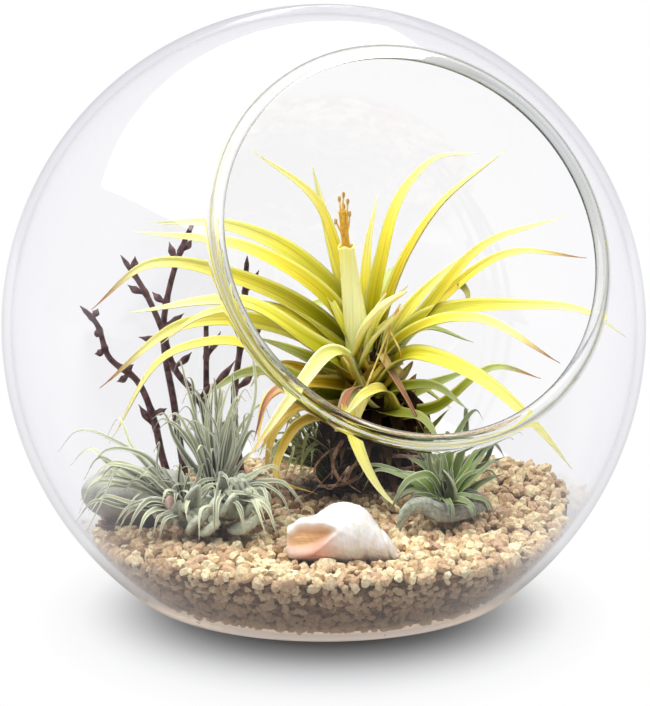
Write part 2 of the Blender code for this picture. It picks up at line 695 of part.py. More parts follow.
def arched(root, tip, arch):
    """A path from root to tip whose middle rises by a share of its length."""
    root, tip = np.array(root, float), np.array(tip, float)
    middle = 0.5 * (root + tip)
    middle[2] += arch * np.linalg.norm(tip - root)
    return root, middle, tip


def needle(head, radius, tip):
    """A three-sided needle out of the shoulder of a round head."""
    head, tip = np.array(head, float), np.array(tip, float)
    out = tip - head
    root = head + 0.4 * radius * out / np.linalg.norm(out) + [0.0, 0.0, 0.25 * radius]
    return tube(arched(root, tip, NEEDLE_ARCH), NEEDLE_RADII, 3, NEEDLE_STEPS)


def head_ball(head, radius, level):
    """The round heart of a small plant, standing on its levelled round."""
    half_height = (head[2] - level - STANDING_GAP) / math.cos(POLE_TILT)
    return ball(head, (radius, radius, half_height))


def make_silver_plant():
    level = SEATS["silver"][3]
    hearts = [head_ball(head, radius, level) for head, radius, *_ in SILVER_HEADS]
    needles = [needle(head, radius, tip) for head, radius, *tips in SILVER_HEADS for tip in tips]
    lobes = [blade(places, width, LOBE_THICKNESS, 4, rounded=True) for width, *places in SILVER_LOBES]
    body = combine(hearts[0], hearts[1:] + needles + lobes, "UNION", "MANIFOLD")
    return finish(body, "silver_plant", material("silver_leaf", (0.48, 0.55, 0.47), 0.85))


def make_small_plant():
    body = head_ball(SMALL_HEAD, SMALL_HEAD_RADIUS, SEATS["small"][3])
    leaves = [
        blade(arched(SMALL_HEAD, tip, SMALL_LEAF_ARCH), SMALL_LEAF_WIDTH, LEAF_THICKNESS, 4)
        for tip in SMALL_TIPS
    ]
    leaves += [blade(places, width, LEAF_THICKNESS, 5) for width, *places in SMALL_LEAVES]
    leaves.append(blade(OVAL_LEAF, OVAL_WIDTH, LEAF_THICKNESS, 5, rounded=True))
    leaves.append(blade(TRUNK_LEAF, TRUNK_WIDTH, TRUNK_THICKNESS, 6))
    combine(body, leaves, "UNION", "MANIFOLD")
    return finish(body, "small_green_plant", material("grey_green_leaf", (0.36, 0.47, 0.30), 0.8))


def make_back_plant():
    body = head_ball(BACK_HEAD, BACK_HEAD_RADIUS, SEATS["back"][3])
    needles = [needle(BACK_HEAD, BACK_HEAD_RADIUS, tip) for tip in BACK_TIPS]
    combine(body, needles, "UNION", "MANIFOLD")
    return finish(body, "back_green_plant", material("dark_green_leaf", (0.20, 0.33, 0.14), 0.7))


def make_twigs():
    look = material("dry_twig", (0.16, 0.09, 0.10), 0.75)
    for number, (path, spurs) in enumerate(TWIGS, start=1):
        line = smooth_path(path, 200)
        stem = tube(path, TWIG_RADII, TWIG_SIDES, TWIG_STEPS)
        branches = [
            tube((line[int(share * 199)], tip), SPUR_RADII, 4, 2) for share, tip in spurs
        ]
        combine(stem, branches, "UNION", "MANIFOLD")
        finish(stem, f"twig_{number}", look)


def make_seashell():
    """A whelk: its girth follows the profile, and a groove winds round it to the spire's tip."""
    along_steps, around_steps = SHELL_STEPS
    start, end = np.array(SHELL_MOUTH_END), np.array(SHELL_TIP)
    ground = SEATS["shell"][3] + STANDING_GAP
    along = (end - start) / np.linalg.norm(end - start)
    square = np.array([-along[1], along[0]])
    share = np.linspace(0.0, 1.0, along_steps + 1)[:, None]
    turn = np.linspace(0.0, 2 * math.pi, around_steps, endpoint=False)[None, :]
    girth = SHELL_GIRTH * np.interp(share, *SHELL_PROFILE)
    winding = (SHELL_WHORLS * share**1.4 + turn / (2 * math.pi)) % 1.0
    from_groove = np.minimum(winding, 1.0 - winding)
    depth = SHELL_GROOVE * np.clip(3.0 * share - 0.9, 0.0, 1.0)
    radius = girth * (1.0 - depth * np.exp(-((from_groove / 0.10) ** 2)))
    axis_height = ground + 0.92 * np.maximum(girth, 0.62 * SHELL_GIRTH * (1.0 - share**3))
    height = np.maximum(axis_height + radius * np.sin(turn), ground)
    plan = start + (end - start) * share[..., None] + (radius * np.cos(turn))[..., None] * square
    shell = loft(layout(np.concatenate([plan, height[..., None]], axis=-1)))
    scoop = ball(SHELL_OPENING, SHELL_OPENING_SIZE, 6, 10)
    combine(shell, [scoop], "DIFFERENCE", "EXACT")
    return finish(shell, "seashell", material("pearl_shell", (0.93, 0.88, 0.84), 0.3))


def make_stone():
    """A water-worn stone, a little uneven all round, with a flat where it lies."""
    across, toward, _, level = SEATS["stone"]
    ground = level + STANDING_GAP
    rows, sides = STONE_STEPS
    tilt = np.linspace(POLE_TILT, math.pi - POLE_TILT, rows + 1)[:, None]
    turn = np.linspace(0.0, 2 * math.pi, sides, endpoint=False)[None, :]
    swell = 1.0 + 0.05 * np.sin(2 * turn + 0.6) * np.sin(tilt) + 0.03 * np.cos(3 * turn + 1.0)
    length, width, height = STONE_SIZE
    x = across + length * swell * np.sin(tilt) * np.cos(turn)
    y = toward + width * swell * np.sin(tilt) * np.sin(turn)
    z = np.maximum(ground + height * (0.9 + np.cos(tilt)), ground) + 0.0 * turn
    stone = loft(layout(np.stack([x, y, z], axis=-1)))
    return finish(stone, "river_stone", material("stone_green_grey", (0.33, 0.35, 0.30), 0.6))


for leftover in list(bpy.data.objects):
    bpy.data.objects.remove(leftover)
make_globe()
make_gravel()
make_yellow_plant()
make_flower()
make_stump()
make_silver_plant()
make_small_plant()
make_back_plant()
make_twigs()
make_seashell()
make_stone()
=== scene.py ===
"""The planted glass globe in its finished looks, on a white floor under soft studio light.

Metres, +Z up, the origin at the middle of the globe's foot. The planting's places are given in
millimetres as (across, toward, height): across runs to the right of someone looking at its best
side, toward runs to that person, and height is above the foot.
"""

import math

import bpy
import numpy as np
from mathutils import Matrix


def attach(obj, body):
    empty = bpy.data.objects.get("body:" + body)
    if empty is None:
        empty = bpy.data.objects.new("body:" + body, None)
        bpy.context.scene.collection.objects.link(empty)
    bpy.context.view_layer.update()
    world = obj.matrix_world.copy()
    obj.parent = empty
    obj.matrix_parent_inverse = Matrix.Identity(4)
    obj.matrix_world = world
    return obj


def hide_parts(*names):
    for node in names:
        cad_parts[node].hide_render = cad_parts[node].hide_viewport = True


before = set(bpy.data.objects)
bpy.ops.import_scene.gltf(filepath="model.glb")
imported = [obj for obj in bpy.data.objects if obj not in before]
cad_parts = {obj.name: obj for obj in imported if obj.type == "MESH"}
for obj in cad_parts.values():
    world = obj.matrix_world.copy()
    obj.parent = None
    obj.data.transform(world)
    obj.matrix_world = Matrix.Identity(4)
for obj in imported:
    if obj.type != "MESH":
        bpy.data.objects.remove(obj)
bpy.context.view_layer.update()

# The glass globe
# One blown shell of clear glass: a sphere above its middle and a slightly deeper half ellipse
# below it, pressed flat at the foot. The mouth was cut at a slant and its lip melted to a bead.
GLOBE_RADIUS = 0.1000
GLOBE_DEPTH = 0.1035
GLOBE_MIDDLE = 0.0848
GLASS_WALL = 0.0026
GLASS_FLOOR = 0.0030
FOOT_ROUNDING = 0.003
MOUTH_RISE = math.radians(25.5)
MOUTH_HALF_ANGLE = math.radians(35.1)
LIP_RADIUS = 0.0019
GLASS_AROUND = 200
GLASS_ALONG = 130
POLE_ANGLE = 0.012
LIP_STEPS = 19
GLASS_BOUNCES = 9.0
GLASS_WAVES = 22.0
WAVE_DEPTH = 0.0006
LIP_WAVES = 13.0


def once_round(count):
    """Even turns once round, as a row."""
    return np.linspace(0.0, 2 * math.pi, count, endpoint=False)[None, :]


def skin(rings, **values):
    """(points, faces, values) of a closed body over a grid of rings (ring, place on it, xyz): each
    ring is joined to the next and round on itself, and a fan to its own middle closes each end
    ring. The values are numbers over the grid for a material to read."""
    count, around = rings.shape[:2]
    first = np.arange(count - 1)[:, None] * around
    here = np.arange(around)[None, :]
    after = (here + 1) % around
    quads = np.stack(
        [first + here, first + after, first + around + after, first + around + here], axis=-1
    ).reshape(-1, 4)
    low, high = count * around, count * around + 1
    last = (count - 1) * around
    fans = np.concatenate([
        np.stack([after[0], here[0], np.full(around, low)], axis=-1),
        np.stack([last + here[0], last + after[0], np.full(around, high)], axis=-1),
    ])
    points = np.concatenate([rings.reshape(-1, 3), rings[:1].mean(1), rings[-1:].mean(1)])
    corners = np.concatenate([quads[:, [0, 1, 2]], quads[:, [0, 2, 3]], fans])
    a, b, c = (points[corners[:, k]] for k in range(3))
    if np.einsum("ij,ij->i", a, np.cross(b, c)).sum() < 0:
        quads, fans = quads[:, ::-1], fans[:, ::-1]
    found = {}
    for key, value in values.items():
        grid = np.broadcast_to(np.asarray(value, float), (count, around))
        found[key] = np.concatenate([grid.reshape(-1), grid[:1].mean(1), grid[-1:].mean(1)])
    return points, [quads, fans], found


def gather(bodies):
    """One (points, faces, values) from several: the points follow each other, and each body's
    faces are shifted past the points before it."""
    points, faces, values, shift = [], [], {}, 0
    for body_points, body_faces, body_values in bodies:
        points.append(body_points)
        faces += [corners + shift for corners in body_faces]
        for key, value in body_values.items():
            values.setdefault(key, []).append(value)
        shift += len(body_points)
    return np.concatenate(points), faces, {key: np.concatenate(v) for key, v in values.items()}


def new_piece(name, body, look, smooth=True):
    """A mesh object at the origin, riding on the planter's one body, from (points, faces, values)
    with the points in metres."""
    points, faces, values = body
    mesh = bpy.data.meshes.new(name)
    corners = [row for block in faces for row in block.tolist()]
    mesh.from_pydata(points, [], corners)
    for key, value in values.items():
        layer = mesh.attributes.new(key, "FLOAT", "POINT")
        layer.data.foreach_set("value", np.asarray(value, np.float32))
    mesh.polygons.foreach_set("use_smooth", np.full(len(corners), smooth))
    mesh.materials.append(look)
    piece = bpy.data.objects.new(name, mesh)
    bpy.context.scene.collection.objects.link(piece)
    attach(piece, "root")
    return piece


def globe_reach(direction, inset, floor):
    """Distance from the globe's middle to its skin along unit directions: the sphere's radius where
    they rise, the ellipse's where they fall, and a soft minimum of that and the flat foot."""
    up = direction[..., 2]
    radius, depth = GLOBE_RADIUS - inset, GLOBE_DEPTH - inset
    half_height = np.where(up > 0.0, radius, depth)
    side = 1.0 / np.sqrt((1.0 - up**2) / radius**2 + up**2 / half_height**2)
    foot = np.minimum((GLOBE_MIDDLE - floor) / np.maximum(-up, 1e-6), 1.0)
    share = np.clip(0.5 + 0.5 * (foot - side) / FOOT_ROUNDING, 0.0, 1.0)
    return foot * (1.0 - share) + side * share - FOOT_ROUNDING * share * (1.0 - share)


def round_mouth(angle, turn):
    """Unit directions at an angle from the mouth's axis, at turns round it: the axis times the
    angle's cosine, and the level and steep vectors square to it times its sine."""
    axis = np.array([0.0, -math.cos(MOUTH_RISE), math.sin(MOUTH_RISE)])
    level = np.array([1.0, 0.0, 0.0])
    steep = np.cross(axis, level)
    square = np.cos(turn)[..., None] * level + np.sin(turn)[..., None] * steep
    return np.cos(angle)[..., None] * axis + np.sin(angle)[..., None] * square


def glass_rings():
    """(rings, 1 on the bead): the shell round the mouth's axis: down the outer wall's angles to the
    lip, round the bead's circle, which sits on the middle of the wall, and back along the inner
    wall."""
    turn = once_round(GLASS_AROUND)
    meets = math.sqrt(LIP_RADIUS**2 - (GLASS_WALL / 2) ** 2)
    edge = MOUTH_HALF_ANGLE + meets / (GLOBE_RADIUS - GLASS_WALL / 2)
    angle = np.linspace(math.pi - POLE_ANGLE, edge, GLASS_ALONG)[:, None] + 0.0 * turn
    way = round_mouth(angle, turn + 0.0 * angle)
    outer = way * globe_reach(way, 0.0, 0.0)[..., None]
    inner = way * globe_reach(way, GLASS_WALL, GLASS_FLOOR)[..., None]
    lip = np.full_like(turn, MOUTH_HALF_ANGLE)
    out = round_mouth(lip, turn)
    inwards = -round_mouth(lip + math.pi / 2, turn)
    centre = out * 0.5 * (
        globe_reach(out, 0.0, 0.0) + globe_reach(out, GLASS_WALL, GLASS_FLOOR)
    )[..., None]
    start = math.pi - math.atan2(GLASS_WALL / 2, meets)
    swing = np.linspace(start, -start, LIP_STEPS)[1:-1, None, None]
    bead = centre + LIP_RADIUS * (np.cos(swing) * inwards + np.sin(swing) * out)
    rings = np.concatenate([outer, bead, inner[::-1]]) + [0.0, 0.0, GLOBE_MIDDLE]
    on_bead = np.zeros(rings.shape[:2])
    on_bead[len(outer) - 1 : len(outer) + len(bead) + 1] = 1.0
    return rings, on_bead


def add(tree, kind, inputs=None, **settings):
    """A new node with its settings. Each input, by name or number, is given a value or joined to
    an output."""
    node = tree.nodes.new("ShaderNode" + kind)
    for key, value in settings.items():
        setattr(node, key, value)
    for key, value in (inputs or {}).items():
        if isinstance(value, bpy.types.NodeSocket):
            tree.links.new(value, node.inputs[key])
        else:
            node.inputs[key].default_value = value
    return node


def drive(tree, shader, **sockets):
    """Joins outputs to the sockets of a shader."""
    for socket, output in sockets.items():
        tree.links.new(output, shader.inputs[socket.replace("_", " ")])


def own_place(tree):
    """Object coordinates."""
    return add(tree, "TexCoord").outputs["Object"]


def read_value(tree, name):
    """A number given to each point."""
    return add(tree, "Attribute", attribute_name=name).outputs["Fac"]


def maths(tree, operation, *values, clamp=False):
    """A sum on numbers or outputs."""
    node = add(tree, "Math", dict(enumerate(values)), operation=operation, use_clamp=clamp)
    return node.outputs["Value"]


def noise(tree, vector, scale, detail, roughness=0.5):
    """Cloudy noise over a vector."""
    inputs = {"Vector": vector, "Scale": scale, "Detail": detail, "Roughness": roughness}
    return add(tree, "TexNoise", inputs).outputs["Fac"]


def roughened(tree, height, strength, depth):
    """A normal that is roughened by a height."""
    inputs = {"Height": height, "Strength": strength, "Distance": depth}
    return add(tree, "Bump", inputs).outputs["Normal"]


def ramp(tree, factor, *stops):
    """A colour that goes from stop to stop: each is (position, red, green, blue)."""
    node = add(tree, "ValToRGB", {"Fac": factor})
    elements = node.color_ramp.elements
    while len(elements) < len(stops):
        elements.new(0.5)
    for element, (position, *colour) in zip(elements, stops):
        element.position = position
        element.color = (*colour, 1.0)
    return node.outputs["Color"]


def mixed(tree, kind, factor, first, second):
    """A colour mix of two outputs or colours. The factor is an output or a number."""
    first, second = (
        given if isinstance(given, bpy.types.NodeSocket) else (*given, 1.0) for given in (first, second)
    )
    node = add(tree, "Mix", {"Factor": factor, 6: first, 7: second}, data_type="RGBA", blend_type=kind)
    return node.outputs[2]


def new_look(name, roughness=0.5, **sockets):
    """(material, its node tree, its Principled shader), with values set on the shader."""
    look = bpy.data.materials.new(name)
    look.use_nodes = True
    tree = look.node_tree
    shader = tree.nodes["Principled BSDF"]
    shader.inputs["Roughness"].default_value = roughness
    for socket, value in sockets.items():
        shader.inputs[socket.replace("_", " ")].default_value = value
    return look, tree, shader


def clear_glass():
    """Clear glass with the faint waves of hand blowing, greenish grey in the lip. Painted shade greys
    the wall where it is seen at a slant, towards its outline, and darkens the lip there. The thick
    foot is painted glowing low down: a faint warm emission that stands in for the light it gathers.
    Light that only passes to or from the planting goes straight through, a little weaker near the
    outline, and so does light that has run on inside the wall for many bounces."""
    look, tree, shader = new_look(
        "clear_glass", 0.0, Transmission_Weight=1.0, IOR=1.47, Emission_Strength=1.0
    )
    slant = add(tree, "LayerWeight", {"Blend": 0.5}).outputs["Facing"]
    # Painted shade: the wall's colour greys towards its outline, where it is seen at a slant.
    wall = ramp(
        tree, slant, (0.80, 0.985, 0.982, 0.992), (0.845, 0.93, 0.93, 0.94), (0.885, 0.66, 0.665, 0.68),
        (0.93, 0.40, 0.41, 0.43),
    )
    # Painted shade: the lip darkens to near black where it is seen at a slant.
    lip = ramp(
        tree, slant, (0.18, 0.97, 0.972, 0.955), (0.34, 0.70, 0.71, 0.67), (0.50, 0.30, 0.305, 0.27),
        (0.80, 0.06, 0.06, 0.05),
    )
    place = own_place(tree)
    thick = ramp(tree, noise(tree, place, LIP_WAVES, 0.0), (0.42, 0.80, 0.80, 0.70), (0.56, 1.0, 1.0, 1.0))
    lip = mixed(tree, "MULTIPLY", 1.0, lip, thick)
    height = add(tree, "SeparateXYZ", {"Vector": place}).outputs["Z"]
    centimetres = maths(tree, "MULTIPLY", height, 100.0)
    # Painted light: a faint warm emission in the lowest centimetre of the foot, where there is no lamp.
    painted_foot_glow = ramp(
        tree, centimetres, (0.0, 0.06, 0.05, 0.045), (0.03, 0.055, 0.043, 0.034),
        (0.15, 0.055, 0.041, 0.028), (0.35, 0.060, 0.040, 0.024), (0.60, 0.05, 0.032, 0.016),
        (1.0, 0.0, 0.0, 0.0),
    )
    drive(
        tree, shader, Base_Color=mixed(tree, "MIX", read_value(tree, "lip"), wall, lip),
        Emission_Color=painted_foot_glow, Normal=roughened(tree, noise(tree, place, GLASS_WAVES, 1.0), 0.25, WAVE_DEPTH),
    )
    edge = add(tree, "LayerWeight", {"Blend": 0.35}).outputs["Facing"]
    tint = ramp(tree, edge, (0.30, 0.96, 0.97, 0.97), (0.95, 0.50, 0.53, 0.54))
    through = add(tree, "BsdfTransparent", {"Color": tint}).outputs["BSDF"]
    ray = add(tree, "LightPath").outputs
    passing = maths(tree, "MAXIMUM", ray["Is Shadow Ray"], ray["Is Diffuse Ray"])
    trapped = maths(tree, "GREATER_THAN", ray["Ray Depth"], GLASS_BOUNCES)
    straight = maths(tree, "MAXIMUM", passing, trapped)
    mix = add(tree, "MixShader", {"Fac": straight, 1: shader.outputs["BSDF"], 2: through})
    drive(tree, tree.nodes["Material Output"], Surface=mix.outputs["Shader"])
    return look


glass, on_bead = glass_rings()
globe = new_piece("globe_glass", skin(glass, lip=on_bead), clear_glass())
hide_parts("glass_globe")


# The gravel
# Broken stone chips three to four millimetres across, tan, cream and pinkish, poured into the
# foot of the globe. Chips crowd the top and press against the glass, and darker fines fill the
# rest. Painted light makes the chips at the front cream, and painted shade darkens the fines in
# part, the chips at the left, round the stump and under the silver plant, and the chips low on
# the side.
PLANTING_TURN = math.radians(-20.4)
GRAVEL_LEVEL = 25.0
HEAP = (58.0, -25.0, 8.0, 26.0)
DIP = (-82.0, 0.0, -5.0, 25.0)
BED_FLOOR = 3.6
BED_EDGE = 78.0
BED_STEPS = (16, 30)
BED_AROUND = 120
FINES_SINK = 1.4
STUMP_PLACE = (17.0, -25.0)
CHIP_SHAPES = ((0.95, 0.75, 0.60), (1.30, 1.05, 0.85))
CHIP_KNOCKS = (0.80, 1.12)
# Painted light: the bell at the front where chips are drawn towards cream, as if lit.
PAINTED_LIGHT_FRONT = (0.0, 72.0, 42.0, 26.0)
# Where top chips darken round the stump: dark earth, and painted shade of the plants above it.
HUMUS_AND_SHADE = (9.0, -25.0, 27.0, 19.0)
SHADED = (-28.0, 16.0, 22.0, 20.0)
TOP_CHIPS = 2900
TOP_REACH = 84.0
TOP_SIZES = (1.10, 2.0)
TOP_JOSTLE = 1.3
SIDE_CHIPS = 2100
SIDE_SIZES = (1.0, 1.75)
SIDE_FOOT = 4.6
PEBBLES = 230
PEBBLE_REACH = 76.0
PEBBLE_SIZE = (2.6, 3.6)
PEBBLE_SHIFT = 1.4
PEBBLE_WAVES = (5.1, 3.7, 2.3)
PEBBLE_SINK = 0.5
LEVELLED = ((17, -25, 10.5), (-33, 22, 10), (37, 20, 10.5), (0, -31, 5.5), (6, 51.5, 18), (-59, 2, 17))
LYING = ((6.0, 51.5, 16.0, 6.5), (-59.0, 2.0, 17.0, 10.0), (17.0, -25.0, 8.0, 8.0))


def layout(places):
    """World metres of (across, toward, height) in millimetres: a turn about the upright axis."""
    across, toward, height = np.moveaxis(np.asarray(places, float), -1, 0)
    x = across * math.cos(PLANTING_TURN) + toward * math.sin(PLANTING_TURN)
    y = across * math.sin(PLANTING_TURN) - toward * math.cos(PLANTING_TURN)
    return np.stack([x, y, height], axis=-1) * 0.001


def revolved(reach, turn, height, middle=(0.0, 0.0, 0.0)):
    """Places at a reach and a turn round the upright axis through a middle, and a height over it."""
    places = np.broadcast_arrays(reach * np.cos(turn), reach * np.sin(turn), height)
    return np.stack(places, axis=-1) + np.asarray(middle, float)


def ground_height(across, toward):
    """The gravel's height in millimetres: its level and two bell-shaped swells, a heap and a dip."""
    height = GRAVEL_LEVEL
    for middle_across, middle_toward, rise, width in (HEAP, DIP):
        away = (across - middle_across) ** 2 + (toward - middle_toward) ** 2
        height = height + rise * np.exp(-away / (2 * width**2))
    return height


def bed_radius(height):
    """Millimetres from the upright axis to the glass's inner wall at a height: the inner ellipse,
    less half a millimetre, drawn in by up to three at the foot's rounded edge."""
    fall = (1000 * GLOBE_MIDDLE - height) / (1000 * (GLOBE_DEPTH - GLASS_WALL))
    wall = 1000 * (GLOBE_RADIUS - GLASS_WALL) * np.sqrt(1.0 - fall**2)
    return wall - 0.5 - 3.0 * np.exp(-(((height - 3.0) / 2.5) ** 2))


def bed_rings():
    """The fines' body: rings up the side from the floor to the edge of the top, then rings in over
    the top, a little under the chips, all following the radius and the height of the bed."""
    up_side, over_top = BED_STEPS
    turn = once_round(BED_AROUND)
    edge_height = ground_height(BED_EDGE * np.cos(turn), BED_EDGE * np.sin(turn)) - FINES_SINK
    share = np.linspace(0.0, 1.0, up_side)[:, None]
    side_height = BED_FLOOR + share * (edge_height - BED_FLOOR)
    side = bed_radius(side_height) - 1.0
    top = side[-1:] * np.linspace(1.0, 0.01, over_top)[1:, None]
    top_height = ground_height(top * np.cos(turn), top * np.sin(turn)) - FINES_SINK
    reach, height = np.concatenate([side, top]), np.concatenate([side_height, top_height])
    return layout(revolved(reach, turn, height))


def rounded_cube():
    """(points, faces) of a chip before it is worn: a cube of two squares a side, with each point
    drawn part of the way to a ball."""
    side = [-1.0, 0.0, 1.0]
    grid = np.stack(np.meshgrid(side, side, side, indexing="ij"), -1)
    number = np.arange(27).reshape(3, 3, 3)
    sheets = [number[0], number[2].T, number[:, 0].T, number[:, 2], number[:, :, 0], number[:, :, 2].T]
    faces = np.concatenate([
        np.stack([s[:-1, :-1], s[:-1, 1:], s[1:, 1:], s[1:, :-1]], axis=-1).reshape(-1, 4)
        for s in sheets
    ])
    faces = np.where(faces > 13, faces - 1, faces)
    points = np.delete(grid.reshape(-1, 3), 13, axis=0)
    return points / np.linalg.norm(points, axis=1)[:, None] ** 0.75, faces


def turns(count, draw):
    """Random turns as (count, 3, 3) matrices, from unit quaternions spread evenly over the sphere."""
    q = draw.normal(size=(count, 4))
    w, x, y, z = (q / np.linalg.norm(q, axis=1)[:, None]).T
    rows = [
        1 - 2 * (y * y + z * z), 2 * (x * y - z * w), 2 * (x * z + y * w),
        2 * (x * y + z * w), 1 - 2 * (x * x + z * z), 2 * (y * z - x * w),
        2 * (x * z - y * w), 2 * (y * z + x * w), 1 - 2 * (x * x + y * y),
    ]
    return np.stack(rows, axis=-1).reshape(count, 3, 3)


def bell(across, toward, middle_across, middle_toward, half_across, half_toward):
    """One at a middle, falling away round it as a bell that is wider one way than the other."""
    off_across, off_toward = (across - middle_across) / half_across, (toward - middle_toward) / half_toward
    return np.exp(-(off_across**2) - off_toward**2)


def chips(places, sizes, soil_and_shade, draw):
    """(points, faces, values) of broken chips at places in millimetres: each is the rounded cube,
    stretched unevenly, its corners knocked in or out at random, and turned at random. Its tone is
    a random share, drawn towards cream at the front as painted light, towards gold at the right,
    and darker brown at the left as painted shade."""
    shape, faces = rounded_cube()
    count = len(places)
    stretch = draw.uniform(*CHIP_SHAPES, (count, 3))
    knocked = draw.uniform(*CHIP_KNOCKS, (count, len(shape), 1))
    local = shape[None] * stretch[:, None] * knocked * sizes[:, None, None]
    turned = np.einsum("nij,nkj->nki", turns(count, draw), local)
    points = layout(turned + places[:, None])
    numbered = faces[None] + len(shape) * np.arange(count)[:, None, None]
    tone = draw.uniform(0.0, 1.0, count)
    across, toward = places[:, 0], places[:, 1]
    # Painted light at the front (cream) and painted shade at the left (darker brown).
    front = bell(across, toward, *PAINTED_LIGHT_FRONT)
    left = np.clip((-20.0 - across) / 45.0, 0.0, 1.0)
    right = np.clip((across - 22.0) / 25.0, 0.0, 1.0)
    painted_light_to_cream = 0.50 * front * (0.80 - tone)
    to_gold = 0.5 * right * (1.0 - front) * (0.62 - tone)
    tone = tone + painted_light_to_cream + to_gold - 0.30 * left * tone
    return points.reshape(-1, 3), [numbered.reshape(-1, 4)], {
        "tone": np.repeat(tone, len(shape)), "soil_and_shade": np.repeat(soil_and_shade, len(shape))
    }


def golden(step):
    """The turn at each step by the golden angle."""
    return step * math.pi * (3 - math.sqrt(5))


def sunflower(step, widest):
    """(across, toward) on a sunflower spiral: out with the root of the step, by the golden angle."""
    away = widest * np.sqrt((step + 0.5) / len(step))
    return away * np.cos(golden(step)), away * np.sin(golden(step))


def top_chips():
    """Chips on a sunflower spiral, jostled, lying at the ground's height, where nothing else lies."""
    draw = np.random.default_rng(4)
    across, toward = sunflower(np.arange(TOP_CHIPS), TOP_REACH)
    across = across + draw.uniform(-TOP_JOSTLE, TOP_JOSTLE, TOP_CHIPS)
    toward = toward + draw.uniform(-TOP_JOSTLE, TOP_JOSTLE, TOP_CHIPS)
    size = draw.uniform(*TOP_SIZES, TOP_CHIPS)
    size = size * np.where(draw.uniform(size=TOP_CHIPS) > 0.93, 1.35, 1.0)
    height = ground_height(across, toward) + draw.uniform(-1.2, 0.4, TOP_CHIPS)
    clear = np.hypot(across, toward) < bed_radius(height) - 1.15 * size
    for middle_across, middle_toward, half_across, half_toward in LYING:
        off = ((across - middle_across) / half_across) ** 2
        off = off + ((toward - middle_toward) / half_toward) ** 2
        clear &= off > 1.0
    # How far each chip takes the dark colour: dark earth with painted shade round the stump, painted shade
    # under the silver plant.
    soil_and_shade = 1.25 * bell(across, toward, *HUMUS_AND_SHADE) + 0.55 * bell(across, toward, *SHADED)
    soil_and_shade = np.clip(soil_and_shade, 0.0, 1.0)
    places = np.stack([across, toward, height], axis=-1)
    return chips(places[clear], size[clear], soil_and_shade[clear], draw)


def pebbles():
    """The largest stones, on a sunflower spiral of their own, each moved and sized by its own
    sines and sunk a little."""
    step = np.arange(PEBBLES)
    first, second, third = PEBBLE_WAVES
    across, toward = sunflower(step, PEBBLE_REACH)
    across = across + PEBBLE_SHIFT * np.sin(first * step)
    toward = toward + PEBBLE_SHIFT * np.cos(second * step)
    smallest, largest = PEBBLE_SIZE
    size = smallest + (largest - smallest) * (0.5 + 0.5 * np.sin(third * step))
    height = ground_height(across, toward) - PEBBLE_SINK
    clear = np.hypot(across, toward) < bed_radius(height - 1.0) - 1.3 * size
    for middle_across, middle_toward, radius in LEVELLED:
        clear &= np.hypot(across - middle_across, toward - middle_toward) > radius + size
    # Dark earth with painted shade round the stump.
    soil_and_shade = np.clip(1.25 * bell(across, toward, *HUMUS_AND_SHADE), 0.0, 1.0)
    places = np.stack([across, toward, height], axis=-1)
    return chips(places[clear], 0.85 * size[clear], soil_and_shade[clear], np.random.default_rng(3))


def side_chips():
    """Chips pressed against the glass, at random turns and heights, each its own size in from it."""
    draw = np.random.default_rng(9)
    turn = draw.uniform(0.0, 2 * math.pi, SIDE_CHIPS)
    edge = ground_height(BED_EDGE * np.cos(turn), BED_EDGE * np.sin(turn))
    height = SIDE_FOOT + draw.uniform(size=SIDE_CHIPS) ** 0.8 * (edge - SIDE_FOOT - 0.3)
    size = draw.uniform(*SIDE_SIZES, SIDE_CHIPS)
    reach = bed_radius(height) - 1.12 * size
    # Painted shade: side chips take a dull brown, more of it lower down, away from the top.
    side_shade = np.clip(0.45 + 0.5 * (edge - height) / 12.0, 0.0, 0.93)
    return chips(revolved(reach, turn, height), size, side_shade, draw)


def grain_group():
    """A shared effect: speckle as a mask, and a roughened normal, from fine noise."""
    tree = bpy.data.node_groups.new("grain", "ShaderNodeTree")
    for name, way, kind in (
        ("Vector", "INPUT", "Vector"), ("Scale", "INPUT", "Float"), ("Depth", "INPUT", "Float"),
        ("Strength", "INPUT", "Float"), ("Speckle", "OUTPUT", "Float"), ("Normal", "OUTPUT", "Vector"),
    ):
        tree.interface.new_socket(name, in_out=way, socket_type="NodeSocket" + kind)
    given = tree.nodes.new("NodeGroupInput").outputs
    speckle = noise(tree, given["Vector"], given["Scale"], 6.0, 0.65)
    normal = roughened(tree, speckle, given["Strength"], given["Depth"])
    drive(tree, tree.nodes.new("NodeGroupOutput"), Speckle=speckle, Normal=normal)
    return tree


GRAIN = grain_group()


def add_grain(tree, shader, scale, depth, strength=0.5):
    """Places the grain effect on Object coordinates, joins its normal and gives its speckle."""
    inputs = {"Vector": own_place(tree), "Scale": scale, "Depth": depth, "Strength": strength}
    grain = add(tree, "Group", inputs, node_tree=GRAIN).outputs
    drive(tree, shader, Normal=grain["Normal"])
    return grain["Speckle"]


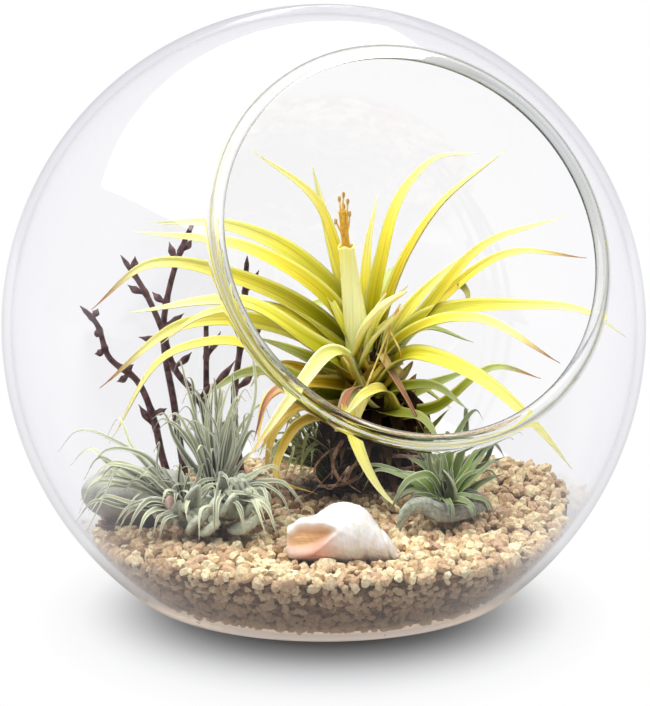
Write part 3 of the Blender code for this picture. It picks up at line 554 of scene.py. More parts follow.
def chip_stone(name, stain):
    """Each chip has its own tone, from brown through tan and pink to cream, with a fine speckle.
    A dark colour covers it as far as its own share says: dark earth and painted shade round the
    stump, painted shade under the silver plant, and painted shade lower down on the side."""
    look, tree, shader = new_look(name, 0.75, Specular_IOR_Level=0.35)
    speckle = add_grain(tree, shader, 900.0, 0.0004)
    tone = ramp(
        tree, read_value(tree, "tone"),
        (0.0, 0.24, 0.13, 0.07), (0.14, 0.50, 0.31, 0.16), (0.32, 0.72, 0.51, 0.28),
        (0.46, 0.72, 0.49, 0.32), (0.58, 0.92, 0.73, 0.43), (0.86, 1.0, 0.91, 0.60),
        (1.0, 0.80, 0.48, 0.18),
    )
    flecks = ramp(tree, speckle, (0.35, 0.55, 0.48, 0.42), (0.60, 1.0, 1.0, 1.0))
    worn = mixed(tree, "MULTIPLY", 0.8, tone, flecks)
    drive(tree, shader, Base_Color=mixed(tree, "MIX", read_value(tree, "soil_and_shade"), worn, stain))
    return look


def fines():
    """Fine dusty grit and small stone between the chips: brown, and dark partly as painted shade of
    the gaps between the chips; darker still in its hollows, which is painted shade too.
    """
    look, tree, shader = new_look("gravel_fines", 0.95, Specular_IOR_Level=0.2)
    speckle = add_grain(tree, shader, 500.0, 0.0012, 0.9)
    # Painted shade: the fill is dark for the gaps between chips, and darkest where its bump dips.
    colour = ramp(tree, speckle, (0.35, 0.06, 0.030, 0.016), (0.65, 0.28, 0.160, 0.085))
    drive(tree, shader, Base_Color=colour)
    return look


# The dark colours the chips take: dark earth and painted shade on the top, painted shade on the side.
humus_and_shade_colour, side_shade_colour = (0.020, 0.010, 0.005), (0.35, 0.20, 0.11)
for name, stones, stain in (
    ("gravel_top", gather([top_chips(), pebbles()]), humus_and_shade_colour), ("gravel_side", side_chips(), side_shade_colour),
):
    heap = new_piece(name, stones, chip_stone(name, stain), smooth=False)
    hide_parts("gravel_bed")
bed = new_piece("gravel_fines", skin(bed_rings()), fines())
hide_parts("gravel_bed")


# The river stone
# A smooth grey-green pebble from a river bed, almost four centimetres long, half sunk in the
# gravel at the left. Its skin is satin and mottled, and painted shade makes it browner low down.
STONE_MIDDLE = (-59.0, 2.0, 30.6)
STONE_SIZE = (19.0, 12.0, 9.2)


def stone_rings():
    """An ellipsoid whose radius swells and dips by a few waves round it and along it."""
    tilt = np.linspace(0.03, math.pi - 0.03, 60)[:, None]
    turn = once_round(90)
    swell = (
        1.0 + 0.05 * np.sin(2 * turn + 0.6) * np.sin(tilt) + 0.03 * np.cos(3 * turn + 1.0) * np.sin(tilt)
        + 0.02 * np.sin(3 * tilt + 2 * turn) * np.sin(tilt)
    )
    ball = revolved(swell * np.sin(tilt), turn, swell * np.cos(tilt))
    return layout(np.asarray(STONE_MIDDLE) + ball * STONE_SIZE)


def rescaled(tree, value, low, high, least, most):
    """A number from least to most, as a value goes from low to high."""
    limits = {"From Min": low, "From Max": high, "To Min": least, "To Max": most}
    return add(tree, "MapRange", {"Value": value, **limits}).outputs["Result"]


def river_stone_look():
    """Grey-green stone: broad mottling, a fine speckle, and painted shade that turns it brown towards the
    gravel.
    """
    look, tree, shader = new_look("river_stone", 0.42, Coat_Weight=0.15, Coat_Roughness=0.3)
    speckle = add_grain(tree, shader, 650.0, 0.00012, 0.4)
    place = own_place(tree)
    mottled = ramp(
        tree, noise(tree, place, 95.0, 4.0),
        (0.32, 0.23, 0.21, 0.18), (0.50, 0.42, 0.43, 0.37), (0.70, 0.60, 0.62, 0.55),
    )
    flecks = ramp(tree, speckle, (0.40, 0.75, 0.73, 0.70), (0.60, 1.0, 1.0, 1.0))
    stone = mixed(tree, "MULTIPLY", 0.7, mottled, flecks)
    height = add(tree, "SeparateXYZ", {"Vector": place}).outputs["Z"]
    # Painted shade: the lower part of the stone turns brown towards the gravel.
    low = rescaled(tree, height, 0.036, 0.024, 0.0, 0.85)
    drive(tree, shader, Base_Color=mixed(tree, "MIX", low, stone, (0.20, 0.135, 0.105)))
    return look


stone = new_piece("pebble", skin(stone_rings()), river_stone_look())
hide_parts("river_stone")


# The seashell
# A small white whelk, lying on its side with its opening to the viewer's left. The body whorl is
# porcelain white, the opening peach, the low side blushed pink, and a groove winds to the tip.
SHELL_MOUTH_END = (-10.5, 52.0)
SHELL_TIP = (22.5, 53.0)
SHELL_GROUND = 24.9
SHELL_GIRTH = 8.6
SHELL_WHORLS = 3.6
SHELL_STEPS = (170, 128)
SHELL_EVENED = 22
SHELL_PROFILE = (
    (0.0, 0.05, 0.14, 0.22, 0.28, 0.34, 0.44, 0.56, 0.68, 0.76, 0.80, 0.88, 0.91, 1.0),
    (0.46, 0.66, 0.74, 0.72, 0.82, 0.93, 1.0, 1.0, 0.90, 0.70, 0.56, 0.46, 0.32, 0.03),
)
SHELL_OPENING = (0.19, 0.30, 0.20, 0.62)


def shell_rings():
    """(rings, how deep in the opening each point is): a girth that follows the profile, evened
    out along it, less a groove that winds round the spire, with the opening pressed in at the
    side as a pear shape, and its lip raised about it."""
    steps, around = SHELL_STEPS
    share = np.linspace(0.0, 1.0, steps)[:, None]
    turn = once_round(around)
    profile = np.interp(np.linspace(-0.06, 1.06, steps + SHELL_EVENED - 1), *SHELL_PROFILE)
    evening = np.full(SHELL_EVENED, 1.0 / SHELL_EVENED)
    girth = SHELL_GIRTH * np.convolve(profile, evening, "valid")[:, None]
    girth[-12:] *= np.linspace(1.0, 0.25, 12)[:, None]
    winding = (SHELL_WHORLS * share**1.4 + turn / (2 * math.pi)) % 1.0
    from_groove = np.minimum(winding, 1.0 - winding)
    deep = np.clip(5.0 * share - 3.1, 0.12, 1.0)
    relief = 1.0 - 0.17 * deep * np.exp(-((from_groove / 0.085) ** 2)) + 0.05 * deep * from_groove
    relief = relief + 0.006 * np.sin(2 * math.pi * 7 * winding)
    relief = relief + 0.005 * np.sin(24 * turn + 30 * share)
    middle, facing, half_along, half_turn = SHELL_OPENING
    beside = (turn - facing + math.pi) % (2 * math.pi) - math.pi
    ahead = (share - middle) / half_along
    away = np.sqrt(ahead**2 + (beside / (half_turn * np.clip(1.0 - 0.6 * ahead, 0.35, 1.6))) ** 2)
    pressed = 1.0 / (1.0 + np.exp((away - 1.0) * 9.0))
    lip = np.exp(-(((away - 1.25) / 0.28) ** 2))
    radius = girth * (relief - 0.50 * pressed + 0.07 * lip)
    axis_height = SHELL_GROUND + 0.92 * np.maximum(girth, 0.62 * SHELL_GIRTH * (1.0 - share**3))
    start, end = np.array(SHELL_MOUTH_END), np.array(SHELL_TIP)
    along = (end - start) / np.linalg.norm(end - start)
    square = np.array([-along[1], along[0]])
    plan = start + (end - start) * share[..., None] + (radius * np.cos(turn))[..., None] * square
    height = np.maximum(axis_height + radius * np.sin(turn), SHELL_GROUND - 0.8)
    return layout(np.concatenate([plan, height[..., None]], axis=-1)), pressed


def shell_look():
    """Porcelain: white, faintly mottled, peach inside the opening and pink on the low left side."""
    look, tree, shader = new_look(
        "seashell", 0.32, Coat_Weight=0.3, Coat_Roughness=0.15, Subsurface_Weight=0.15,
        Subsurface_Scale=0.002,
    )
    speckle = add_grain(tree, shader, 300.0, 0.00015, 0.35)
    bands = ramp(tree, speckle, (0.38, 0.80, 0.74, 0.66), (0.58, 0.93, 0.91, 0.88))
    places = {0: own_place(tree), 1: layout((-3.0, 60.0, 27.5))}
    away = add(tree, "VectorMath", places, operation="DISTANCE").outputs["Value"]
    blush = rescaled(tree, away, 0.0105, 0.002, 0.0, 0.95)
    pink = mixed(tree, "MIX", blush, bands, (0.86, 0.44, 0.36))
    peach = mixed(tree, "MIX", read_value(tree, "inside"), pink, (0.78, 0.44, 0.19))
    drive(tree, shader, Base_Color=peach)
    return look


whelk_rings, whelk_inside = shell_rings()
whelk = new_piece("whelk", skin(whelk_rings, inside=whelk_inside), shell_look())
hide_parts("seashell")


# The stump
# The dead, dry leaf bases that the large plant has grown up on: a dark brown fibrous cone,
# darkened further as painted shade of the plants above, with thin wiry roots that curl out of it.
STUMP_RADII = (9.5, 8.2, 6.4, 6.8)
STUMP_FOOT, STUMP_TOP = 25.9, 45.8
DRY_ROOTS = (
    (0.84, (15, -23, 42), (6, -12, 45), (3, -8, 38), (6, -7, 33), (9, -9, 37), (15, -22, 35)),
    (0.84, (18, -23, 38), (24, -9, 41), (31, -4, 42), (36, 2, 45)),
    (0.84, (15, -23, 33), (6, -11, 31), (-2, -8, 31)),
    (0.84, (19, -23, 34), (26, -12, 36), (33, -9, 38)),
    (0.45, (14, -21, 40), (2, -12, 42), (-3, -6, 36), (2, -5, 31), (6, -6, 35)),
    (0.40, (17, -19, 44), (10, -10, 38), (8, -9, 32), (12, -8, 29)),
    (0.40, (21, -20, 40), (27, -11, 42), (29, -9, 35), (25, -8, 31)),
    (0.35, (12, -22, 37), (3, -16, 34), (-4, -12, 28), (-8, -8, 27)),
)


def smooth_path(places, count):
    """Evenly spaced points on the smooth curve through the places: Hermite cubics on chord length."""
    places = np.asarray(places, float)
    at = np.concatenate([[0.0], np.cumsum(np.linalg.norm(np.diff(places, axis=0), axis=1))])
    slope = np.gradient(places, at, axis=0)
    s = np.linspace(0.0, at[-1], count)
    i = np.clip(np.searchsorted(at, s, side="right") - 1, 0, len(at) - 2)
    span = (at[i + 1] - at[i])[:, None]
    u = (s - at[i])[:, None] / span
    return (
        (2 * u**3 - 3 * u**2 + 1) * places[i]
        + (u**3 - 2 * u**2 + u) * span * slope[i]
        + (3 * u**2 - 2 * u**3) * places[i + 1]
        + (u**3 - u**2) * span * slope[i + 1]
    )


def path_frame(path, turn=0.0):
    """Unit side and upper vectors along a path: upper is square to the path, points up, and leans
    to the viewer by the turn."""
    along = np.gradient(path, axis=0)
    along /= np.linalg.norm(along, axis=1)[:, None]
    heading = path[-1] - path[0]
    level = np.array([-heading[1], heading[0], 0.0])
    if np.linalg.norm(level) < 1e-6:
        level = np.array([1.0, 0.0, 0.0])
    level /= np.linalg.norm(level)
    side = level - (along @ level)[:, None] * along
    side /= np.linalg.norm(side, axis=1)[:, None]
    viewer = np.array([0.0, 1.0, 0.0])
    upper = np.cross(along, side) + turn * (viewer - (along @ viewer)[:, None] * along)
    upper /= np.linalg.norm(upper, axis=1)[:, None]
    return np.cross(upper, along), upper


def round_stem(places, radius, steps, sides=10):
    """(points, faces, values) of a round stem: circles square to the smooth path. The radius is a
    number or an array over the steps."""
    path = smooth_path(places, steps)
    side, upper = path_frame(path)
    turn = once_round(sides)[..., None]
    width = (np.asarray(radius, float) + np.zeros(steps))[:, None, None]
    rings = path[:, None] + width * (side[:, None] * np.cos(turn) + upper[:, None] * np.sin(turn))
    return skin(layout(rings), along=np.linspace(0.0, 1.0, steps)[:, None])


def stump_rings():
    """A cone of revolution through the stump's radii, with upright ridges and the steps of broken
    leaf bases, which a saw-tooth over height makes, shifted half a tooth from ridge to ridge."""
    share = np.linspace(0.0, 1.0, 80)[:, None]
    turn = once_round(96)
    radius = np.interp(share, np.linspace(0.0, 1.0, len(STUMP_RADII)), STUMP_RADII) * 0.95
    ridge = np.abs(np.sin(5.5 * turn + 1.2 * np.sin(4.0 * share)))
    step = (4.0 * share + 0.5 * (np.floor(turn * 11 / (2 * math.pi)) % 2)) % 1.0
    radius = radius + 0.9 * ridge - 1.1 * step + 0.25 * np.sin(31 * turn + 9 * share)
    height = STUMP_FOOT + share * (STUMP_TOP - STUMP_FOOT)
    return layout(revolved(radius, turn, height, (*STUMP_PLACE, 0.0)))


def fibre_look(name, dark, light, roughness=0.85, scale=700.0, depth=0.0008):
    """Dry plant fibre: two colours mixed by a fine grain."""
    look, tree, shader = new_look(name, roughness, Specular_IOR_Level=0.25)
    speckle = add_grain(tree, shader, scale, depth, 0.8)
    drive(tree, shader, Base_Color=ramp(tree, speckle, (0.36, *dark), (0.64, *light)))
    return look


# Dark brown fibre, darkened further as painted shade under the plants.
stump_look = fibre_look("dead_leaf_bases", (0.035, 0.016, 0.010), (0.16, 0.085, 0.045))
stump = new_piece("stump", skin(stump_rings()), stump_look)
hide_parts("air_plant_stump")
root_taper = np.linspace(1.0, 0.55, 70)
root_bodies = [round_stem(places, thick * root_taper, len(root_taper)) for thick, *places in DRY_ROOTS]
root_look = fibre_look("dry_roots", (0.22, 0.11, 0.07), (0.58, 0.38, 0.26), 0.7, 500.0, 0.0003)
roots = new_piece("roots", gather(root_bodies), root_look)
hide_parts("air_plant_stump")


# The large air plant
# A rosette of yellow-green channelled leaves on a short stem, each a few millimetres wide and up
# to a hand long, arching out of the mouth and down to the gravel. Some are dry at the tip.
CROWN_FOOT = (17.0, -25.0, 47.4)
CROWN_TIP = (13.5, -21.5, 74.0)
CROWN_RADII = (7.4, 5.4)
LEAF_TURN = 0.85
LEAF_STEPS = 40
YELLOW_LEAVES = (
    (6.3, 66, (5, -27, 100), (-3, -24, 122), (-23, -16, 139)),
    (5.6, 66, (3, -34, 105), (-4, -40, 133)),
    (4.5, 66, (15, -36, 108), (18, -40, 123)),
    (6.3, 66, (19, -26, 100), (28, -29, 127), (36, -30, 135), (51, -32, 137)),
    (6.3, 65, (28, -15, 107), (37, -9, 122), (57, -5, 140)),
    (5.4, 64, (32, -15, 86), (52, -8, 110), (76, -5, 119)),
    (5.2, 64, (35, -26, 86), (61, -24, 105), (85, -20, 104)),
    (5.2, 64, (31, -40, 87), (53, -52, 105)),
    (6.9, 62, (33, -12, 85), (61, 0, 91), (82, 7, 90), (94, 9, 83)),
    (6.3, 61, (25, -8, 79), (48, 15, 89), (71, 28, 78)),
    (7.8, 58, (29, 5, 76), (50, 22, 70), (66, 25, 56), (76, 22, 44)),
    (5.6, 50, (36, -10, 56), (56, 2, 72), (68, 5, 69)),
    (5.2, 53, (31, -31, 58), (50, -40, 64)),
    (4.7, 51, (32, -15, 47), (40, -6, 57)),
    (6.0, 50, (22, -7, 57), (19, -2, 64), (14, 3, 64), (11, 6, 58), (9, 6, 50)),
    (7.4, 56, (-2, -6, 62), (-14, 0, 70), (-26, 4, 70), (-38, 6, 63)),
    (8.0, 66, (2, -26, 92), (-15, -27, 107), (-33, -26, 114), (-57, -24, 115)),
    (7.2, 66, (0, -18, 91), (-23, -12, 107), (-60, -8, 114)),
    (7.2, 64, (-4, -19, 85), (-27, -18, 97), (-57, -15, 102), (-75, -14, 88)),
    (9.2, 62, (-5, -5, 78), (-24, 5, 92), (-60, 12, 91)),
    (6.9, 60, (-11, -24, 79), (-45, -20, 82), (-73, -15, 62)),
    (5.8, 52, (-8, 0, 62), (-27, 10, 81), (-46, 8, 78), (-68, 4, 48)),
    (5.8, 57, (8, 0, 60), (10, 12, 50), (19, 20, 35), (24, 23, 31)),
    (7.2, 59, (-8, 4, 66), (-18, 24, 64), (-20, 30, 54)),
    (5.2, 55, (-4, -8, 60), (-15, 0, 52), (-19, 5, 34)),
    (4.7, 52, (-10, -3, 50), (-14, 9, 38), (-2, 13, 34)),
    (5.6, 66, (19, -17, 86), (27, -13, 96)),
    (6.3, 64, (20, -45, 92), (25, -66, 96)),
    (6.3, 62, (4, -44, 85), (-12, -64, 80)),
    (5.8, 61, (32, -42, 77), (52, -58, 70)),
    (5.8, 56, (14, -46, 66), (12, -66, 54)),
    (5.4, 54, (30, -40, 58), (44, -52, 48)),
    (7.0, 54, (0, 0, 58), (-8, 6, 60), (-16, 10, 54), (-20, 12, 46)),
    (6.4, 56, (25, -4, 64), (35, 4, 66), (45, 10, 60)),
    (6.4, 53, (24, -2, 56), (31, 5, 56), (37, 11, 48)),
    (4.8, 68, (6, -18, 82), (1, -20, 92), (-3, -22, 98)),
    (5.6, 58, (16, 0, 64), (12, 8, 64), (4, 14, 56)),
    (6.6, 60, (0, -16, 78), (-18, -14, 88), (-40, -10, 86), (-52, -6, 78)),
    (7.4, 60, (-3, -16, 70), (-12, -8, 76), (-21, -2, 81)),
    (6.6, 57, (0, -12, 64), (-6, -4, 62), (-9, 0, 55)),
    (7.0, 58, (-4, -12, 67), (-14, -4, 71), (-20, 0, 70), (-23, 3, 66)),
)
DRY_TIPPED = (6, 9, 11, 18, 20, 35)
GREENER = (11, 12, 13, 15, 27, 28, 29, 30, 31, 33, 34, 38)
GOLDEN = (23, 24, 25, 32, 39, 40)


def channelled_leaf(places, width, tone, dry, turn=LEAF_TURN, steps=LEAF_STEPS, depth=0.38, thick=0.55,
                    twist=0.0, rounded=False):
    """(points, faces, values) of a leaf: a bowed strip with a body, carried along a smooth path.
    Its half width is the root's, times one less the share run to the power 2.5, or half a sine's
    arch where the leaf is rounded; across it the strip rises with the square of the distance from
    its middle, and its thickness fades to the edges. The twist turns it evenly along its length."""
    path = smooth_path(places, steps)
    side, upper = path_frame(path, turn)
    share = np.linspace(0.0, 1.0, steps)[:, None]
    cosine, sine = np.cos(twist * share), np.sin(twist * share)
    side, upper = side * cosine + upper * sine, upper * cosine - side * sine
    if rounded:
        half = 0.5 * width * np.sin(math.pi * (0.14 + 0.85 * share)) ** 0.6
    else:
        half = 0.5 * width * (1.0 - share**2.5) * (1.0 + 0.35 * (1.0 - share) ** 3)
    half = np.maximum(half, 0.12)
    over = np.linspace(-1.0, 1.0, 9)
    across = np.concatenate([over, over[-2:0:-1]])[None, :]
    upside = np.concatenate([np.ones(9), -np.ones(7)])[None, :]
    body = 0.5 * thick * np.sqrt(np.maximum(1.0 - across**2, 0.0)) * np.minimum(half / 0.8, 1.0)
    lift = depth * half * across**2 + upside * body
    rings = (
        path[:, None] + (half * across)[..., None] * side[:, None] + lift[..., None] * upper[:, None]
    )
    return skin(layout(rings), along=share, across=across, under=upside < 0, tone=tone, dry=dry)


def on_stem(height):
    """The middle of the large plant's stem at a height: a straight line from its foot to its tip."""
    foot, tip = np.array(CROWN_FOOT), np.array(CROWN_TIP)
    return foot + (height - foot[2]) / (tip[2] - foot[2]) * (tip - foot)


def leaf_look(name, root, middle, outer, tip, dry_tip, edge, tones, roughness=0.42, streaks=0.35,
              below=0.45, edge_from=0.72, felt=0.0, **sockets):
    """Leaf skin: a ramp from the root through the middle to the tip, fine streaks that run the
    length of the leaf, a darker underside that is painted shade, a lighter edge, and a dry brown
    end where the leaf has one. The tones are the stops of a ramp that tints whole leaves. The
    streaks stand up a little, unless there is felt: a grain of dark hollows between pale tufts of
    hair."""
    look, tree, shader = new_look(name, roughness, **sockets)
    along, across, tone = (read_value(tree, key) for key in ("along", "across", "tone"))
    length = ramp(tree, along, (0.06, *root), (0.26, *middle), (0.52, *outer), (0.92, *tip))
    wide, apart = maths(tree, "MULTIPLY", across, 4.5), maths(tree, "MULTIPLY", tone, 31.0)
    place = add(tree, "CombineXYZ", {"X": wide, "Y": along, "Z": apart}).outputs["Vector"]
    fibres = noise(tree, place, 1.6, 3.0)
    stripe = ramp(tree, fibres, (0.34, 0.36, 0.47, 0.24), (0.56, 1.0, 1.0, 1.0))
    streaked = mixed(tree, "MULTIPLY", streaks, length, stripe)
    toned = mixed(tree, "MULTIPLY", 1.0, streaked, ramp(tree, tone, *tones))
    # Painted shade: the underside of each leaf is darkened by the given factor.
    toned = mixed(tree, "MULTIPLY", read_value(tree, "under"), toned, (below, below, below))
    off = maths(tree, "ABSOLUTE", across)
    rim = ramp(tree, off, (edge_from, 0.0, 0.0, 0.0), (1.0, 0.75, 0.75, 0.75))
    edged = mixed(tree, "MIX", rim, toned, edge)
    if felt:
        speckle = add_grain(tree, shader, 650.0, 0.0012, 0.9)
        tufts = ramp(tree, speckle, (0.38, 0.40, 0.40, 0.38), (0.60, 1.15, 1.15, 1.12))
        edged = mixed(tree, "MULTIPLY", felt, edged, tufts)
    else:
        drive(tree, shader, Normal=roughened(tree, fibres, 0.35, 0.0002))
    near_tip = ramp(tree, along, (0.80, 0.0, 0.0, 0.0), (0.95, 1.0, 1.0, 1.0))
    amount = maths(tree, "MULTIPLY", near_tip, read_value(tree, "dry"))
    drive(tree, shader, Base_Color=mixed(tree, "MIX", amount, edged, dry_tip))
    return look


SUNNY_TONES = (
    (0.0, 0.34, 0.48, 0.40), (0.40, 1.0, 1.0, 1.0), (0.75, 1.05, 0.97, 0.85), (1.0, 1.05, 0.70, 0.30),
)
PLAIN_TONES = ((0.0, 0.55, 0.55, 0.52), (0.5, 1.0, 1.0, 1.0), (1.0, 1.25, 1.22, 1.12))

draw = np.random.default_rng(21)
yellow_bodies = []
for number, (width, height, *places) in enumerate(YELLOW_LEAVES):
    tone = draw.uniform(0.35, 0.8)
    if number in GREENER:
        tone = draw.uniform(0.0, 0.15)
    if number in GOLDEN:
        tone = draw.uniform(0.92, 1.0)
    dry = 1.0 if number in DRY_TIPPED else draw.uniform(0.0, 0.35)
    yellow_bodies.append(channelled_leaf(
        (on_stem(height), *places), width, tone, dry, twist=draw.uniform(-0.35, 0.35), depth=0.52
    ))
yellow_look = leaf_look(
    "yellow_leaf", (0.08, 0.09, 0.001), (0.46, 0.43, 0.003), (0.93, 0.81, 0.085), (0.96, 0.92, 0.46),
    (0.30, 0.12, 0.03), (0.93, 0.87, 0.28), SUNNY_TONES, streaks=0.5, below=0.36, Specular_IOR_Level=0.3,
    Subsurface_Weight=0.25, Subsurface_Scale=0.0012, Subsurface_Radius=(1.0, 0.9, 0.15),
)
yellow = new_piece("large_plant", gather(yellow_bodies), yellow_look)
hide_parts("air_plant_leaves")


# The crown of the large plant
# The stem under the leaves: swollen golden leaf bases that clasp it like scales, and below them
# the dead leaves of past years, drooping round the stump. The stem and the dead leaves are dark
# brown, painted nearly black as the shade in the crown.
SWOLLEN_BASES = (
    (8.0, (16, -17, 64), (18, -11, 67.5), (20, -10, 71)),
    (7.0, (11, -17, 64), (8, -12, 69), (6.5, -13, 73)),
    (6.5, (13, -17, 68), (11.5, -11.5, 72), (11, -12, 76)),
    (6.5, (19, -18, 62), (22, -13, 66), (25, -14, 69)),
    (6.5, (13, -16, 60), (12, -10, 63), (12, -9, 67)),
)
SCALES = (22, 52, 68, (3.0, 4.0, 4.5), (0.0, 6.0, 9.0), (0.0, 2.0, 8.0), 9.0)
DEAD_LEAVES = (
    (26, 50, 60, (3.0, 4.0, 5.0), (0.0, 8.0, 13.0), (0.0, 0.0, -14.0), 5.6),
    (34, 36, 50, (3.0, 4.0, 5.0), (0.0, 7.0, 12.0), (0.0, 0.0, -8.0), 6.0),
    (20, 28, 40, (5.0, 5.0, 5.0), (0.0, 5.0, 9.0), (0.0, 1.0, -2.0), 5.0),
)


def round_the_stem(count, foot, top, start, reach, rise, width, draw, **form):
    """Short leaves that clasp the stem: each starts at a height on it, at the next turn of the
    golden angle, and goes out by the reach and up by the rise, in three places."""
    found = []
    for number in range(count):
        turn = golden(number) + 0.4
        out = np.array([math.cos(turn), math.sin(turn), 0.0])
        low = on_stem(foot + (top - foot) * number / count)
        share = draw.uniform(0.8, 1.2)
        places = [
            low + out * start[k] + out * reach[k] * share + [0.0, 0.0, rise[k] * share] for k in range(3)
        ]
        found.append(channelled_leaf(
            places, width * draw.uniform(0.85, 1.15), draw.uniform(0.2, 1.0), draw.uniform(0.0, 1.0),
            twist=draw.uniform(-0.3, 0.3), **form
        ))
    return found


draw = np.random.default_rng(5)
scale_bodies = round_the_stem(*SCALES, draw, turn=0.0, steps=20, depth=0.6, thick=1.2)
scale_bodies += [
    channelled_leaf(places, width, 0.8, 0.3, turn=0.2, steps=24, depth=-0.25, thick=3.2, rounded=True)
    for width, *places in SWOLLEN_BASES
]
scale_look = leaf_look(
    "leaf_bases", (0.26, 0.12, 0.010), (0.66, 0.42, 0.012), (0.74, 0.58, 0.020), (0.80, 0.66, 0.06),
    (0.20, 0.07, 0.015), (0.80, 0.62, 0.12), SUNNY_TONES, streaks=0.8, Subsurface_Weight=0.15,
    Subsurface_Scale=0.001,
)
scales = new_piece("crown_scales", gather(scale_bodies), scale_look)
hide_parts("air_plant_leaves")
stem_width = np.linspace(*CROWN_RADII, 24)
stem_body = round_stem((on_stem(45), on_stem(60), CROWN_TIP), stem_width, len(stem_width), 24)
# Painted shade: the stem under the leaves is nearly black.
stem_look = fibre_look("dead_stem", (0.016, 0.008, 0.005), (0.10, 0.055, 0.020))
crown_stem = new_piece("crown_stem", stem_body, stem_look)
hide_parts("air_plant_leaves")
dead_bodies = [
    leaf for form in DEAD_LEAVES for leaf in round_the_stem(*form, draw, steps=22, depth=0.7)
]
# Painted shade: dark brown dead leaves, darkened to nearly black for the shade round the stump.
dead_look = leaf_look(
    "dead_leaf", (0.008, 0.004, 0.002), (0.018, 0.009, 0.004), (0.034, 0.016, 0.007),
    (0.07, 0.034, 0.014), (0.26, 0.16, 0.09), (0.06, 0.032, 0.014), PLAIN_TONES, roughness=0.8,
    streaks=0.8, Specular_IOR_Level=0.15,
)
dead = new_piece("dead_leaves", gather(dead_bodies), dead_look)
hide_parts("air_plant_stump")


# The broken leaves
# Torn pale leaves that stand at the crown's middle, the threads that hang from them, pale leaves
# that fold down in front, dry reddish strips and the pinkish stub of a broken leaf.
TORN_LEAVES = (
    (8.4, (9, -16, 68), (13, -8, 81), (19, -2, 90), (26, 1, 96)),
    (6.6, (12, -12, 70), (17, -4, 81), (21, 0, 86), (25, 2, 91)),
    (4.6, (14, -14, 72), (16, -6, 84), (21, -3, 93)),
    (5.0, (12, -18, 70), (15, -12, 84), (20, -10, 94)),
)
FOLDED_LEAVES = (
    (5.8, (13, -10, 61), (7, -5, 74), (2, 6, 77), (-8, 24, 69), (-23, 40, 51)),
    (5.0, (15, -8, 58), (11, -1, 62), (8, 4, 57), (8, 5, 50)),
    (2.6, (44, -26, 95), (46.5, -25.5, 92), (46.5, -24.5, 86)),
)
DRY_STRIPS = (
    (2.6, (18, -10, 74), (22, -2, 68), (27, 3, 60), (32, 5, 51)),
    (4.4, (7, 3, 52), (7, 3, 58), (8, 2, 63), (13, -5, 65)),
    (2.2, (9, 1, 52), (10, 0, 58), (11, -3, 62)),
    (2.4, (-9, 6, 68.2), (-18, 25.5, 65.4), (-21, 31.5, 55)),
)
THREADS = (
    ((22, 0, 88), (18, 0, 77), (13, 2, 65)), ((22, 0, 88), (20, -2, 79), (19, -5, 72)),
    ((21, 0, 83), (24, 0, 77), (25, -4, 72)), ((24, 1, 92), (22, 0, 88), (21, -1, 84)),
)
torn_bodies = [
    channelled_leaf(places, width, 0.9, 0.3, steps=24, depth=0.5, twist=0.3, rounded=True)
    for width, *places in TORN_LEAVES
]
torn_bodies += [
    channelled_leaf(places, width, 0.4, 0.5, depth=0.5, twist=0.2) for width, *places in FOLDED_LEAVES
]
torn_look = leaf_look(
    "torn_leaf", (0.42, 0.44, 0.03), (0.74, 0.72, 0.17), (0.84, 0.80, 0.28), (0.88, 0.82, 0.36),
    (0.72, 0.34, 0.06), (0.93, 0.90, 0.58), PLAIN_TONES, streaks=0.5, below=1.0, Subsurface_Weight=0.3,
    Subsurface_Scale=0.001,
)
new_piece("torn_leaves", gather(torn_bodies), torn_look)
strip_bodies = [
    channelled_leaf(places, width, 0.5, 0.0, steps=30, depth=0.8, twist=0.9)
    for width, *places in DRY_STRIPS
]
strip_look = leaf_look(
    "dry_strip", (0.80, 0.62, 0.22), (0.82, 0.50, 0.26), (0.62, 0.25, 0.12), (0.26, 0.08, 0.05),
    (0.2, 0.1, 0.05), (0.95, 0.74, 0.50), PLAIN_TONES, roughness=0.6, streaks=0.6, below=0.8,
)
new_piece("dry_strips", gather(strip_bodies), strip_look)
thread_bodies = [round_stem(places, 0.33, 30, 6) for places in THREADS]
thread_look = fibre_look("dry_threads", (0.62, 0.40, 0.06), (0.90, 0.76, 0.28), 0.6, 500.0, 0.0001)
new_piece("threads", gather(thread_bodies), thread_look)


# The flower
# The large plant's flower: three pale petals rolled into a tube, with an orange inner roll and
# orange stamens standing out of the top, each ending in a small dusty anther.
FLOWER_FOOT = (12.2, -20.2, 70.0)
FLOWER_TOP = (7.0, -15.0, 109.0)
FLOWER_RADII = (4.7, 2.2)
INNER_FOOT = (7.6, -15.8, 104.0)
INNER_TOP = (6.0, -14.4, 120.0)
INNER_RADII = (1.45, 1.05)
PETAL_WALL = 0.55
STAMENS = (
    ((6, -14, 112), (5.4, -15, 119), (5.0, -16, 123.5)),
    ((7, -14, 112), (7.4, -13.5, 119), (7.6, -13, 123.0)),
    ((6, -15, 112), (6.4, -16, 117), (6.4, -17, 121)),
    ((6, -14, 112), (4.6, -14, 115), (3.8, -14, 116.5)),
    ((7, -15, 112), (6, -14, 119), (6.3, -14.5, 125)),
    ((7, -14, 111), (8, -13.5, 116), (8.2, -13, 119)),
)


